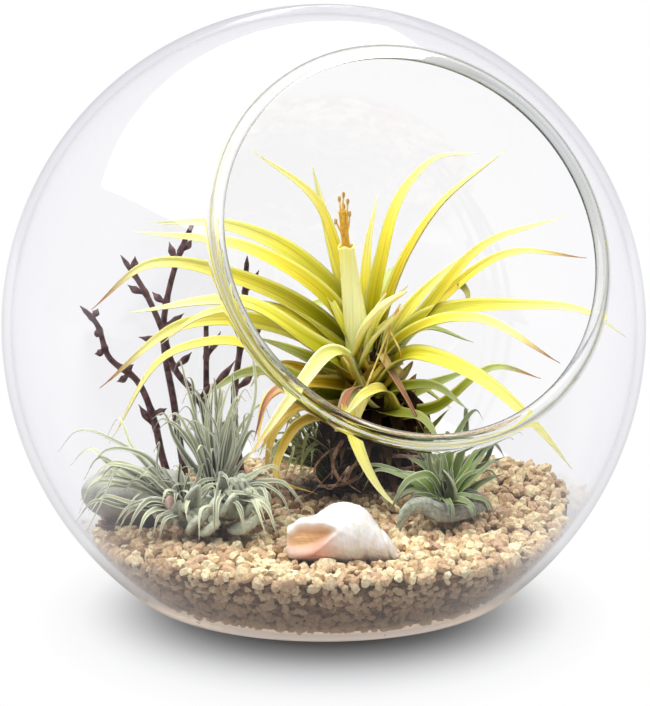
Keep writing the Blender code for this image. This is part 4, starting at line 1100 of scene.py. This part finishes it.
def petal_tube(foot, top, radii, overlap, hollow, steps=40, around=48):
    """(rings, how far up each point is, its place across its petal) of rolled petals: a round wall
    with three overlapping edges, which is a radius stepped by the turn, taken up the outside, over
    a waved lip, and down the bore."""
    foot, top = np.array(foot, float), np.array(top, float)
    up = np.linspace(0.0, 1.0, steps)
    rise = np.concatenate([up, up[::-1][: int(steps * hollow)]])[:, None]
    wall = np.concatenate([np.zeros(steps), np.full(len(rise) - steps, PETAL_WALL)])[:, None]
    turn = once_round(around)
    step = (turn * 3 / (2 * math.pi) + 0.6 * rise) % 1.0
    radius = radii[0] + (radii[1] - radii[0]) * rise + overlap * (step - 0.5) + 0.5 * rise**8 - wall
    lean = rise - 0.025 * (np.sin(1.5 * turn) ** 2) * rise**6
    side, upper = path_frame(np.stack([foot, 0.5 * (foot + top), top]))
    ring = np.cos(turn)[..., None] * side[0] + np.sin(turn)[..., None] * upper[0]
    rings = foot + lean[..., None] * (top - foot) + radius[..., None] * ring
    return layout(rings), rise, 2.0 * step - 1.0


def anther(place, length, width):
    """(points, faces, values) of a bean-shaped anther: an upright ellipsoid pinched at its middle."""
    tilt = np.linspace(0.05, math.pi - 0.05, 12)[:, None]
    reach = width * np.sin(tilt) * (1.0 - 0.2 * np.exp(-((np.cos(tilt) / 0.3) ** 2)))
    return skin(layout(revolved(reach, once_round(12), length * np.cos(tilt), place)), along=1.0)


petal_look = leaf_look(
    "flower_petal", (0.58, 0.61, 0.14), (0.83, 0.83, 0.44), (0.88, 0.87, 0.52), (0.92, 0.85, 0.28),
    (0.85, 0.55, 0.08), (0.92, 0.91, 0.66), PLAIN_TONES, roughness=0.45, streaks=0.22, below=1.0,
    Subsurface_Weight=0.3, Subsurface_Scale=0.0012, Subsurface_Radius=(1.0, 0.9, 0.3),
)
tube, up_tube, over_petal = petal_tube(FLOWER_FOOT, FLOWER_TOP, FLOWER_RADII, 0.35, 0.30)
tube_body = skin(tube, along=up_tube, across=over_petal, tone=0.6, dry=0.0)
flower = new_piece("flower", tube_body, petal_look)
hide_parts("air_plant_flower")
stamen_bodies = [round_stem(places, np.linspace(0.42, 0.28, 18), 18, 8) for places in STAMENS]
stamen_bodies += [anther(places[-1], 1.0, 0.6) for places in STAMENS]
roll, up_roll = petal_tube(INNER_FOOT, INNER_TOP, INNER_RADII, 0.30, 0.25, 24, 36)[:2]
stamen_bodies.append(skin(roll, along=0.5 * up_roll))
stamen_look, tree, shader = new_look("stamens", 0.55, Subsurface_Weight=0.2, Subsurface_Scale=0.001)
pollen = add_grain(tree, shader, 1500.0, 0.0003, 0.7)
orange = ramp(
    tree, read_value(tree, "along"),
    (0.0, 0.80, 0.40, 0.03), (0.5, 0.86, 0.50, 0.05), (0.9, 0.82, 0.56, 0.12), (1.0, 0.60, 0.38, 0.10),
)
dusted = ramp(tree, pollen, (0.40, 0.65, 0.60, 0.5), (0.60, 1.0, 1.0, 1.0))
drive(tree, shader, Base_Color=mixed(tree, "MULTIPLY", 0.7, orange, dusted))
stamens = new_piece("stamens", gather(stamen_bodies), stamen_look)
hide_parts("air_plant_stamens")


# The silver air plant
# Two heads of fine arching leaves, so felted with silver hairs that the green hardly shows. Broad
# felted lobes curl round their hearts, and a pink bud sits low in one head.
SILVER_HEADS = (
    (
        (-33, 22, 33), 6.4,
        (-43, 10, 66), (-39, 15, 67), (-34, 12, 69), (-27, 9, 70), (-30, 17, 66), (-24, 16, 64),
        (-26, 23, 61), (-44, 24, 62), (-46, 19, 58), (-51, 15, 55), (-21, 36, 38), (-6, 32, 35),
        (-19, 41, 31), (-23, 47, 30), (-14, 45, 30), (-32, 49, 31), (-28, 40, 42), (-12, 25, 42),
        (-30, 4, 52), (-42, 3, 54), (-22, 6, 50), (-38, 34, 52),
    ),
    (
        (-42, 27, 32), 4.6,
        (-79, 13, 43), (-68, 28, 44), (-72, 19, 44), (-75, 22, 34), (-71, 31, 32), (-62, 39, 31),
        (-58, 44, 30), (-50, 46, 30), (-60, 33, 40), (-54, 36, 46), (-44, 43, 38),
    ),
)
SILVER_ARCH = 0.22
SILVER_LOBES = (
    (7.6, (-37, 30, 33), (-39, 35, 38), (-37, 36.5, 43)),
    (8.8, (-28, 31, 32), (-28, 38, 36), (-26, 38.5, 41)),
    (6.4, (-33, 31, 33), (-33, 36.5, 36), (-32, 37.5, 39)),
    (7.0, (-28, 34, 29), (-23, 38.5, 31), (-19, 39, 34)),
    (5.6, (-42, 30, 31), (-44, 34, 34), (-43, 34.5, 38)),
    (7.0, (-36, 33, 28), (-34, 38, 30), (-31, 39.5, 33)),
    (6.0, (-46, 28, 30), (-50, 32, 33), (-51, 33, 36)),
    (6.4, (-31, 27, 36), (-30, 31, 42), (-31, 31.5, 46)),
    (5.4, (-40, 34, 28), (-39, 37.5, 31), (-37, 38, 34)),
    (7.4, (-24, 32, 33), (-19, 36, 38), (-16, 37, 36)),
)
LOBE_CLUSTERS = (((-31, 33, 32), 3.5, 22), ((-24, 33, 35), 3.0, 16), ((-39, 32, 31), 3.0, 12))
LOBE_SHIFT = (0.0, 1.5, 0.0)
LOBE_SHARE = 0.75
NEEDLE_WIDTH = 2.1
FINE_NEEDLE_WIDTH = 1.5
YOUNG_NEEDLE_WIDTH = 1.9
LOWEST_TIP = 29.0
PINK_BUD = ((-45, 30, 33), (-46, 32.5, 36), (-46.5, 34, 38.5))


def arched(root, tip, arch):
    """Three places of a path from root to tip whose middle rises by a share of its length."""
    root, tip = np.array(root, float), np.array(tip, float)
    middle = 0.5 * (root + tip)
    middle[2] += arch * np.linalg.norm(tip - root)
    return root, middle, tip


def rosette(heart, tips, root_share, radius, width, arch, draw, bend=0.08, **form):
    """Leaves out of the shoulder of a round heart, one to each tip, each with its own tone, twist
    and a slightly uneven width. Each path's middle is also pushed sideways by a share of its
    length, and its end is drawn back a little, so that it curls."""
    heart = np.array(heart, float)
    found = []
    for tip in tips:
        tip = np.array(tip, float)
        out = tip - heart
        length = np.linalg.norm(out)
        root = heart + root_share * radius * out / length + [0.0, 0.0, 0.25 * radius]
        places = [*arched(root, tip, arch * draw.uniform(0.7, 1.3)), tip]
        places[2] = 0.35 * places[1] + 0.65 * tip + [0.0, 0.0, 0.55 * arch * length]
        places[1] = places[1] + length * draw.uniform(-bend, bend, 3)
        found.append(channelled_leaf(
            places, width * draw.uniform(0.85, 1.15), draw.uniform(0.0, 0.75), draw.uniform(0.0, 0.6),
            twist=draw.uniform(-0.5, 0.5), **form
        ))
    return found


def siblings(tips, spread_by, lowest, draw):
    """The tips again, each beside the first by a random step, and none below the gravel's level."""
    beside = np.asarray(tips, float) + draw.uniform(-spread_by, spread_by, (len(tips), 3))
    beside[:, 2] = np.maximum(beside[:, 2], lowest)
    return [*tips, *beside]


def short_tips(heart, count, lengths, rise, draw):
    """Tips of the young leaves that fill a heart: round it by the golden angle, at a rising slope."""
    turn = golden(np.arange(count)) + draw.uniform(0.0, 6.0)
    slope = np.radians(draw.uniform(*rise, count))
    length = draw.uniform(*lengths, count)
    return revolved(length * np.cos(slope), turn, length * np.sin(slope), heart)


def clasped_heart(place, radius, half_height, folds=5):
    """(points, faces, values) of a heart of clasping leaf bases: an ellipsoid whose radius waves
    with the turn, wound a little with height, under a saw-tooth of overlapping edges."""
    tilt = np.linspace(0.04, math.pi - 0.04, 44)[:, None]
    turn = once_round(64)
    step = (turn * folds / (2 * math.pi) + 1.3 * tilt) % 1.0
    reach = np.sin(tilt) ** 0.8 * (0.86 + 0.16 * step)
    rings = layout(revolved(radius * reach, turn, half_height * np.cos(tilt), place))
    return skin(rings, along=0.06, across=2.0 * step - 1.0, under=0.0, tone=0.55, dry=0.0)


draw = np.random.default_rng(33)
silver_bodies = []
for heart, radius, *tips in SILVER_HEADS:
    silver_bodies += rosette(
        heart, siblings(tips, 4.5, LOWEST_TIP, draw), 0.4, radius, NEEDLE_WIDTH, SILVER_ARCH, draw,
        steps=26, depth=0.5,
    )
    beside = siblings(tips, 8.0, LOWEST_TIP, draw)[len(tips):]
    silver_bodies += rosette(
        heart, beside, 0.4, radius, FINE_NEEDLE_WIDTH, 0.3, draw, 0.16, steps=26, depth=0.5
    )
    young = short_tips(heart, 20, (9.0, 19.0), (5.0, 70.0), draw)
    silver_bodies += rosette(
        heart, young, 0.4, radius, YOUNG_NEEDLE_WIDTH, 0.16, draw, 0.14, steps=20, depth=0.5
    )
    silver_bodies.append(clasped_heart(heart, 0.75 * radius, 0.85 * (heart[2] - 25.2)))
SILVER_TONES = ((0.0, 0.42, 0.46, 0.38), (0.35, 0.92, 0.94, 0.86), (0.75, 1.6, 1.6, 1.5))
silver_look = leaf_look(
    "silver_leaf", (0.31, 0.31, 0.26), (0.34, 0.35, 0.27), (0.42, 0.43, 0.29), (0.54, 0.52, 0.33),
    (0.30, 0.20, 0.13), (0.98, 0.97, 0.85), SILVER_TONES, roughness=0.8, streaks=0.9, below=0.16,
    edge_from=0.35, Sheen_Weight=0.35, Sheen_Roughness=0.4, Specular_IOR_Level=0.2,
)
silver = new_piece("silver_air_plant", gather(silver_bodies), silver_look)
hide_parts("silver_plant")
lobe_bodies = [
    channelled_leaf(
        np.add(places, LOBE_SHIFT), LOBE_SHARE * width, draw.uniform(0.3, 1.0), 0.0, turn=0.6, steps=26,
        depth=-0.1, thick=2.8, twist=draw.uniform(-0.5, 0.5), rounded=True,
    )
    for width, *places in SILVER_LOBES
]
for heart, radius, count in LOBE_CLUSTERS:
    young = short_tips(heart, count, (5.0, 9.0), (-15.0, 75.0), draw)
    lobe_bodies += rosette(
        heart, young, 0.3, radius, 3.9, 0.35, draw, 0.12, steps=22, depth=0.2, thick=1.9, rounded=True
    )
lobe_look = leaf_look(
    "felted_lobe", (0.15, 0.16, 0.12), (0.36, 0.40, 0.30), (0.55, 0.59, 0.45), (0.74, 0.76, 0.61),
    (0.74, 0.76, 0.61), (0.76, 0.78, 0.64), PLAIN_TONES, roughness=0.95, streaks=0.5, below=0.5,
    edge_from=0.45, felt=0.3, Sheen_Weight=0.3, Sheen_Roughness=0.4, Specular_IOR_Level=0.1,
)
lobes = new_piece("silver_lobes", gather(lobe_bodies), lobe_look)
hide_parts("silver_plant")
bud_width = 2.0 * np.sin(math.pi * np.linspace(0.10, 0.97, 24)) ** 0.7
bud_look = fibre_look("pink_bud", (0.62, 0.34, 0.30), (0.86, 0.66, 0.58), 0.6, 600.0, 0.0002)
new_piece("bud", round_stem(PINK_BUD, bud_width, 24, 16), bud_look)


# The small green air plant
# A low rosette at the right: soft grey-green leaves, greener at the heart, one of them thick and
# curled down on to the gravel.
SMALL_HEART = (37, 20, 31)
SMALL_TIPS = (
    (24, 11, 32), (10, 6, 35), (31, 13, 47), (25, 5, 47), (37, 16, 46), (56, 15, 46),
    (54, 24, 40), (62, 10, 52), (50, 5, 56), (46, 32, 31), (38, 35, 31), (52, 28, 31), (40, -2, 44),
)
VIEWER_LEAVES = (
    (3.0, (36, 22, 36), (31, 26, 43), (26, 28, 42), (20, 31, 33)),
    (3.2, (36, 17, 36), (32, 12, 42), (25, 8, 45)),
    (3.0, (38, 16, 36), (35, 9, 44), (31, 4, 48)),
    (3.0, (35, 19, 35), (28, 18, 41), (22, 16, 42)),
    (2.8, (40, 18, 36), (45, 12, 44), (55, 6, 49)),
    (2.8, (41, 20, 35), (46, 18, 42), (56, 14, 46)),
    (2.8, (42, 22, 34), (49, 22, 40), (55, 20, 42)),
)
OVAL_LEAF = ((37, 24, 33), (38, 27, 40), (36, 27, 45))
TRUNK_LEAF = (
    (47, 14, 33), (41, 22, 32), (35, 26, 32), (30, 28, 34.5), (26, 30, 34), (23.5, 32, 31),
    (23, 33, 27.5),
)
GREEN_TONES = ((0.0, 0.40, 0.42, 0.50), (0.45, 1.0, 1.0, 1.0), (1.0, 1.7, 1.65, 2.2))

draw = np.random.default_rng(8)
small_bodies = rosette(
    SMALL_HEART, siblings(SMALL_TIPS, 4.0, 30.0, draw), 0.3, 5.5, 2.5, 0.28, draw, steps=26, depth=0.5
)
young = short_tips(SMALL_HEART, 20, (8.0, 14.0), (15.0, 80.0), draw)
small_bodies += rosette(SMALL_HEART, young, 0.3, 5.5, 2.4, 0.15, draw, steps=20, depth=0.5)
small_bodies += [
    channelled_leaf(places, width, draw.uniform(0.2, 0.7), 0.6, steps=30, depth=0.5)
    for width, *places in VIEWER_LEAVES
]
small_bodies.append(
    channelled_leaf(OVAL_LEAF, 5.0, 0.4, 0.0, steps=24, depth=0.6, thick=0.9, rounded=True)
)
small_bodies.append(clasped_heart(SMALL_HEART, 4.2, 4.6))
small_look = leaf_look(
    "grey_green_leaf", (0.12, 0.19, 0.012), (0.16, 0.24, 0.028), (0.25, 0.31, 0.115), (0.22, 0.24, 0.15),
    (0.07, 0.06, 0.06), (0.74, 0.78, 0.55), GREEN_TONES, roughness=0.6, streaks=0.8, below=0.22,
    Sheen_Weight=0.2, Sheen_Roughness=0.4, Specular_IOR_Level=0.3,
)
small = new_piece("small_air_plant", gather(small_bodies), small_look)
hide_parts("small_green_plant")
trunk_look = leaf_look(
    "felted_leaf", (0.38, 0.37, 0.36), (0.50, 0.48, 0.48), (0.46, 0.47, 0.42), (0.48, 0.54, 0.42),
    (0.2, 0.2, 0.2), (0.62, 0.64, 0.56), PLAIN_TONES, roughness=0.9, streaks=0.5, below=0.6,
    felt=0.6, Sheen_Weight=0.4, Sheen_Roughness=0.4, Specular_IOR_Level=0.2,
)
trunk_body = channelled_leaf(TRUNK_LEAF, 8.4, 0.6, 0.0, turn=0.6, steps=44, depth=-0.25, thick=5.0)
new_piece("curled_leaf", trunk_body, trunk_look)


# The spiky plant at the back
# A tuft of thin olive green leaves behind the yellow ones, seen through them.
BACK_HEART = (0, -31, 31)
BACK_TIPS = (
    (-19, -20, 47), (-18, -15, 42), (-20, -12, 37), (-11, -26, 50), (-4, -16, 46), (2, -14, 40),
    (-14, -36, 46), (-8, -46, 44), (2, -48, 42), (-22, -28, 38), (-2, -30, 54), (-10, -10, 35),
    (-14, -8, 45), (-17, -5, 41), (-10, -6, 48), (-7, -4, 43), (-19, -9, 38), (-12, 0, 37), (-4, -6, 38),
)

draw = np.random.default_rng(14)
back_bodies = rosette(
    BACK_HEART, siblings(BACK_TIPS, 4.0, 31.0, draw), 0.4, 4.2, 2.1, 0.24, draw, 0.14, steps=24,
    depth=0.5,
)
young = short_tips(BACK_HEART, 16, (10.0, 20.0), (0.0, 75.0), draw)
back_bodies += rosette(BACK_HEART, young, 0.4, 4.2, 2.1, 0.2, draw, 0.14, steps=20, depth=0.5)
back_bodies.append(clasped_heart(BACK_HEART, 2.8, 4.6))
back_look = leaf_look(
    "dark_green_leaf", (0.06, 0.07, 0.010), (0.21, 0.24, 0.03), (0.38, 0.41, 0.10), (0.56, 0.55, 0.22),
    (0.30, 0.20, 0.08), (0.68, 0.69, 0.40), PLAIN_TONES, roughness=0.55, streaks=0.8, below=0.30,
    Specular_IOR_Level=0.3,
)
back = new_piece("back_plant", gather(back_bodies), back_look)
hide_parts("back_green_plant")


# The twigs
# Five dry stems of dark purple-brown, pushed into the gravel at the back left, knuckled where the
# side buds leave them. Each bud is a short pointed teardrop.
TWIG_RADII = (1.4, 0.85)
TWIGS = (
    (
        ((-50, -36, 18), (-55, -39, 33), (-58, -38, 48), (-63, -38, 60), (-72, -34, 69),
         (-76, -32, 81), (-81, -30, 87)),
        ((0.35, (-63, -39, 52)), (0.42, (-53, -37, 51)), (0.62, (-70, -37, 60)),
         (0.66, (-64, -37, 66)), (0.78, (-77, -34, 70)), (0.86, (-77, -34, 77)),
         (0.93, (-75, -31, 86))),
    ),
    (
        ((-42, -36, 17), (-42, -36, 54), (-50, -34, 65), (-54, -32, 79), (-60, -30, 93),
         (-67, -29, 104)),
        ((0.40, (-38, -34, 60)), (0.55, (-44, -33, 71)), (0.66, (-62, -33, 76)),
         (0.84, (-65, -30, 94)), (0.92, (-62, -27, 104))),
    ),
    (
        ((-47, -47, 17), (-51, -43, 50), (-54, -40, 80), (-52, -40, 91), (-48, -41, 104),
         (-43, -42, 115)),
        ((0.62, (-47, -40, 83)), (0.70, (-58, -42, 90)), (0.84, (-52, -42, 107)),
         (0.88, (-44, -40, 108))),
    ),
    (
        ((-37, -44, 17), (-40, -43, 53), (-40, -44, 68), (-40, -45, 80)),
        ((0.35, (-31, -46, 47)), (0.50, (-46, -45, 58)), (0.60, (-30, -46, 66)),
         (0.80, (-35, -46, 76))),
    ),
    (
        ((-28, -52, 17), (-31, -52, 51), (-28, -53, 75), (-26, -51, 101)),
        ((0.45, (-24, -54, 60)), (0.62, (-20, -55, 78)), (0.72, (-33, -53, 85)),
         (0.85, (-22, -53, 96))),
    ),
)


def twig(path, spurs):
    """The bodies of one twig: a stem that tapers and swells at each bud by a bell curve, and the
    buds, thorns that taper from the stem to a point with a slight belly on the way."""
    share = np.linspace(0.0, 1.0, 90)
    knuckles = sum(np.exp(-(((share - at) / 0.012) ** 2)) for at, _ in spurs)
    foot, top = TWIG_RADII
    width = foot + share * (top - foot) + 0.30 * knuckles
    width = width * np.minimum(1.0, 0.15 + (1.0 - share) * 25.0)
    bodies = [round_stem(path, width, 90, 12)]
    line = smooth_path(path, 200)
    s = np.linspace(0.0, 1.0, 22)
    bud = 0.80 * (1.0 - s) ** 0.7 + 0.85 * np.exp(-(((s - 0.58) / 0.24) ** 2)) * (1.0 - s**6) + 0.04
    for at, tip in spurs:
        root = line[int(at * 199)]
        middle = 0.5 * (root + np.array(tip)) + [0.0, 0.0, -0.6]
        bodies.append(round_stem((root, middle, tip), bud, 22, 10))
    return bodies


bark = fibre_look("dry_bark", (0.035, 0.012, 0.014), (0.20, 0.098, 0.100), 0.5, 420.0, 0.0005)
for number, (path, spurs) in enumerate(TWIGS, start=1):
    stem = new_piece(f"dry_stem_{number}", gather(twig(path, spurs)), bark)
    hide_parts(f"twig_{number}")


# The floor and the light
# A white floor with its shadow painted on: it glows dark round the planter and brighter away
# from it, creamy and lighter where seen through the glass, with its own painted shade and light
# for reflections. A large soft box overhead and a pale room, as in a studio that photographs
# glass on white.
FLOOR_HALF = 6.0
SOFT_BOX_RIGHT = -0.35
SOFT_BOX_FORWARD = 0.1
SOFT_BOX_HEIGHT = 1.05
SOFT_BOX_SIDE = 2.0
SOFT_BOX_POWER = 42.0
VIEW_AZIMUTH = math.radians(-20.4)
VIEW_RISE = math.radians(9.0)
CAMERA_AWAY = 0.600
LENS = 97.3
LENS_SHIFT = (0.0017, -0.0377)
STOPS_PER_METRE = 5.0
SHADOW_NARROWS = 1.12
SHADOW_FORWARD = 0.020
BLACK = (0.0, 0.0, 0.0)
TO_RIGHT = np.array([math.cos(VIEW_AZIMUTH), math.sin(VIEW_AZIMUTH), 0.0])
TO_VIEWER = np.array([math.sin(VIEW_AZIMUTH), -math.cos(VIEW_AZIMUTH), 0.0])

corner = FLOOR_HALF
floor_mesh = bpy.data.meshes.new("floor")
floor_mesh.from_pydata(
    [(-corner, -corner, 0.0), (corner, -corner, 0.0), (corner, corner, 0.0), (-corner, corner, 0.0)],
    [], [(0, 1, 2, 3)],
)
floor = bpy.data.objects.new("floor", floor_mesh)
bpy.context.scene.collection.objects.link(floor)


def bounced(tree):
    """A number above zero for light that has been reflected on its way, and zero for light that
    comes straight, or straight through glass: how often it met a gloss or a matt surface."""
    ray = add(tree, "LightPath").outputs
    return maths(tree, "ADD", ray["Glossy Depth"], ray["Diffuse Depth"], clamp=True)


def has_met(tree, kind):
    """One for light that has passed through or met a surface of this kind, and zero for the rest."""
    return maths(tree, "MINIMUM", add(tree, "LightPath").outputs[kind], 1.0)


def part_along(tree, vector, direction):
    """How far a vector reaches in a direction."""
    return add(tree, "VectorMath", {0: vector, 1: direction}, operation="DOT_PRODUCT").outputs["Value"]


def away_from(tree, vector, scale):
    """The length of a vector, times a scale."""
    length = add(tree, "VectorMath", {0: vector}, operation="LENGTH").outputs["Value"]
    return maths(tree, "MULTIPLY", length, scale)


floor_look, tree, shader = new_look(
    "white_floor", 0.9, Specular_IOR_Level=0.0, Emission_Strength=1.0
)
place = own_place(tree)
rightwards = part_along(tree, place, SHADOW_NARROWS * TO_RIGHT)
forwards = part_along(tree, place, TO_VIEWER)
moved = maths(tree, "SUBTRACT", forwards, SHADOW_FORWARD)
under = add(tree, "CombineXYZ", {"X": rightwards, "Y": moved}).outputs["Vector"]
# Painted shadow: the floor's emission is dark round the foot and rises to white away from it.
painted_floor_shadow = ramp(
    tree, away_from(tree, under, STOPS_PER_METRE), (0.1875, 0.05, 0.045, 0.04), (0.21, 0.08, 0.08, 0.08),
    (0.23, 0.10, 0.10, 0.10), (0.255, 0.155, 0.155, 0.155), (0.295, 0.30, 0.30, 0.30),
    (0.34, 0.52, 0.52, 0.52), (0.38, 0.73, 0.73, 0.73), (0.42, 0.89, 0.89, 0.89), (0.50, 1.0, 1.0, 1.0),
)
# Painted light: seen through the glass, the floor glows cream under the foot and lighter beyond.
painted_glow_through_glass = ramp(
    tree, away_from(tree, place, STOPS_PER_METRE), (0.285, 0.58, 0.48, 0.38),
    (0.31, 0.54, 0.50, 0.45), (0.36, 0.76, 0.76, 0.76), (0.45, 0.90, 0.90, 0.91), (0.60, 1.0, 1.0, 1.0),
)
seen = mixed(tree, "MIX", has_met(tree, "Transmission Depth"), painted_floor_shadow, painted_glow_through_glass)
straight = mixed(tree, "MIX", bounced(tree), seen, BLACK)
# Painted shade and light for reflections: dark near the foot and in front, brighter away from it.
painted_floor_for_reflections = ramp(
    tree, away_from(tree, place, 1.0), (0.06, 0.40, 0.37, 0.34), (0.09, 0.78, 0.78, 0.79),
    (0.16, 0.84, 0.84, 0.86), (0.30, 0.86, 0.86, 0.89), (0.90, 0.90, 0.90, 0.94),
)
front = rescaled(tree, forwards, 0.02, 0.12, 0.0, 1.0)
painted_floor_for_reflections = mixed(tree, "MIX", front, painted_floor_for_reflections, (0.15, 0.15, 0.16))
gloss = has_met(tree, "Glossy Depth")
unseen = mixed(tree, "MIX", bounced(tree), (0.30, 0.30, 0.31), (0.60, 0.60, 0.61))
dimmed = mixed(tree, "MIX", straight, unseen, BLACK)
drive(
    tree, shader, Emission_Color=mixed(tree, "MIX", gloss, straight, painted_floor_for_reflections),
    Base_Color=mixed(tree, "MIX", gloss, dimmed, BLACK),
)
floor.data.materials.append(floor_look)

scene = bpy.context.scene
scene.world = bpy.data.worlds.new("studio")
scene.world.use_nodes = True
tree = scene.world.node_tree
backwards = part_along(tree, add(tree, "TexCoord").outputs["Generated"], -TO_VIEWER)
walls = ramp(
    tree, rescaled(tree, backwards, -1.0, 1.0, 0.0, 1.0), (0.25, 0.20, 0.20, 0.22),
    (0.50, 0.80, 0.80, 0.84), (0.85, 0.90, 0.90, 0.94), (0.96, 0.82, 0.82, 0.86), (1.0, 0.74, 0.74, 0.78),
)
room = mixed(tree, "MIX", bounced(tree), (1.0, 1.0, 1.0), walls)
matt = add(tree, "LightPath").outputs["Is Diffuse Ray"]
drive(tree, tree.nodes["Background"], Color=mixed(tree, "MULTIPLY", matt, room, (0.55, 0.55, 0.55)))

lamp = bpy.data.lights.new("overhead", "AREA")
lamp.shape = "SQUARE"
lamp.size = SOFT_BOX_SIDE
lamp.energy = SOFT_BOX_POWER
soft_box = bpy.data.objects.new("overhead", lamp)
scene.collection.objects.link(soft_box)
soft_box.location = SOFT_BOX_RIGHT * TO_RIGHT + SOFT_BOX_FORWARD * TO_VIEWER
soft_box.location.z = SOFT_BOX_HEIGHT

lens = bpy.data.cameras.new("camera")
lens.lens = LENS
lens.sensor_width = 36.0
lens.sensor_fit = "AUTO"
lens.shift_x, lens.shift_y = LENS_SHIFT
lens.clip_start = 0.01
camera = bpy.data.objects.new("camera", lens)
scene.collection.objects.link(camera)
out = math.cos(VIEW_RISE) * TO_VIEWER + [0.0, 0.0, math.sin(VIEW_RISE)]
camera.location = CAMERA_AWAY * out + [0.0, 0.0, GLOBE_MIDDLE]
camera.rotation_euler = (math.pi / 2 - VIEW_RISE, 0.0, VIEW_AZIMUTH)
scene.camera = camera

scene.view_settings.view_transform = "Standard"
scene.cycles.use_denoising = True
scene.cycles.max_bounces = 16
scene.cycles.glossy_bounces = 16
scene.cycles.transmission_bounces = 16
scene.cycles.transparent_max_bounces = 32
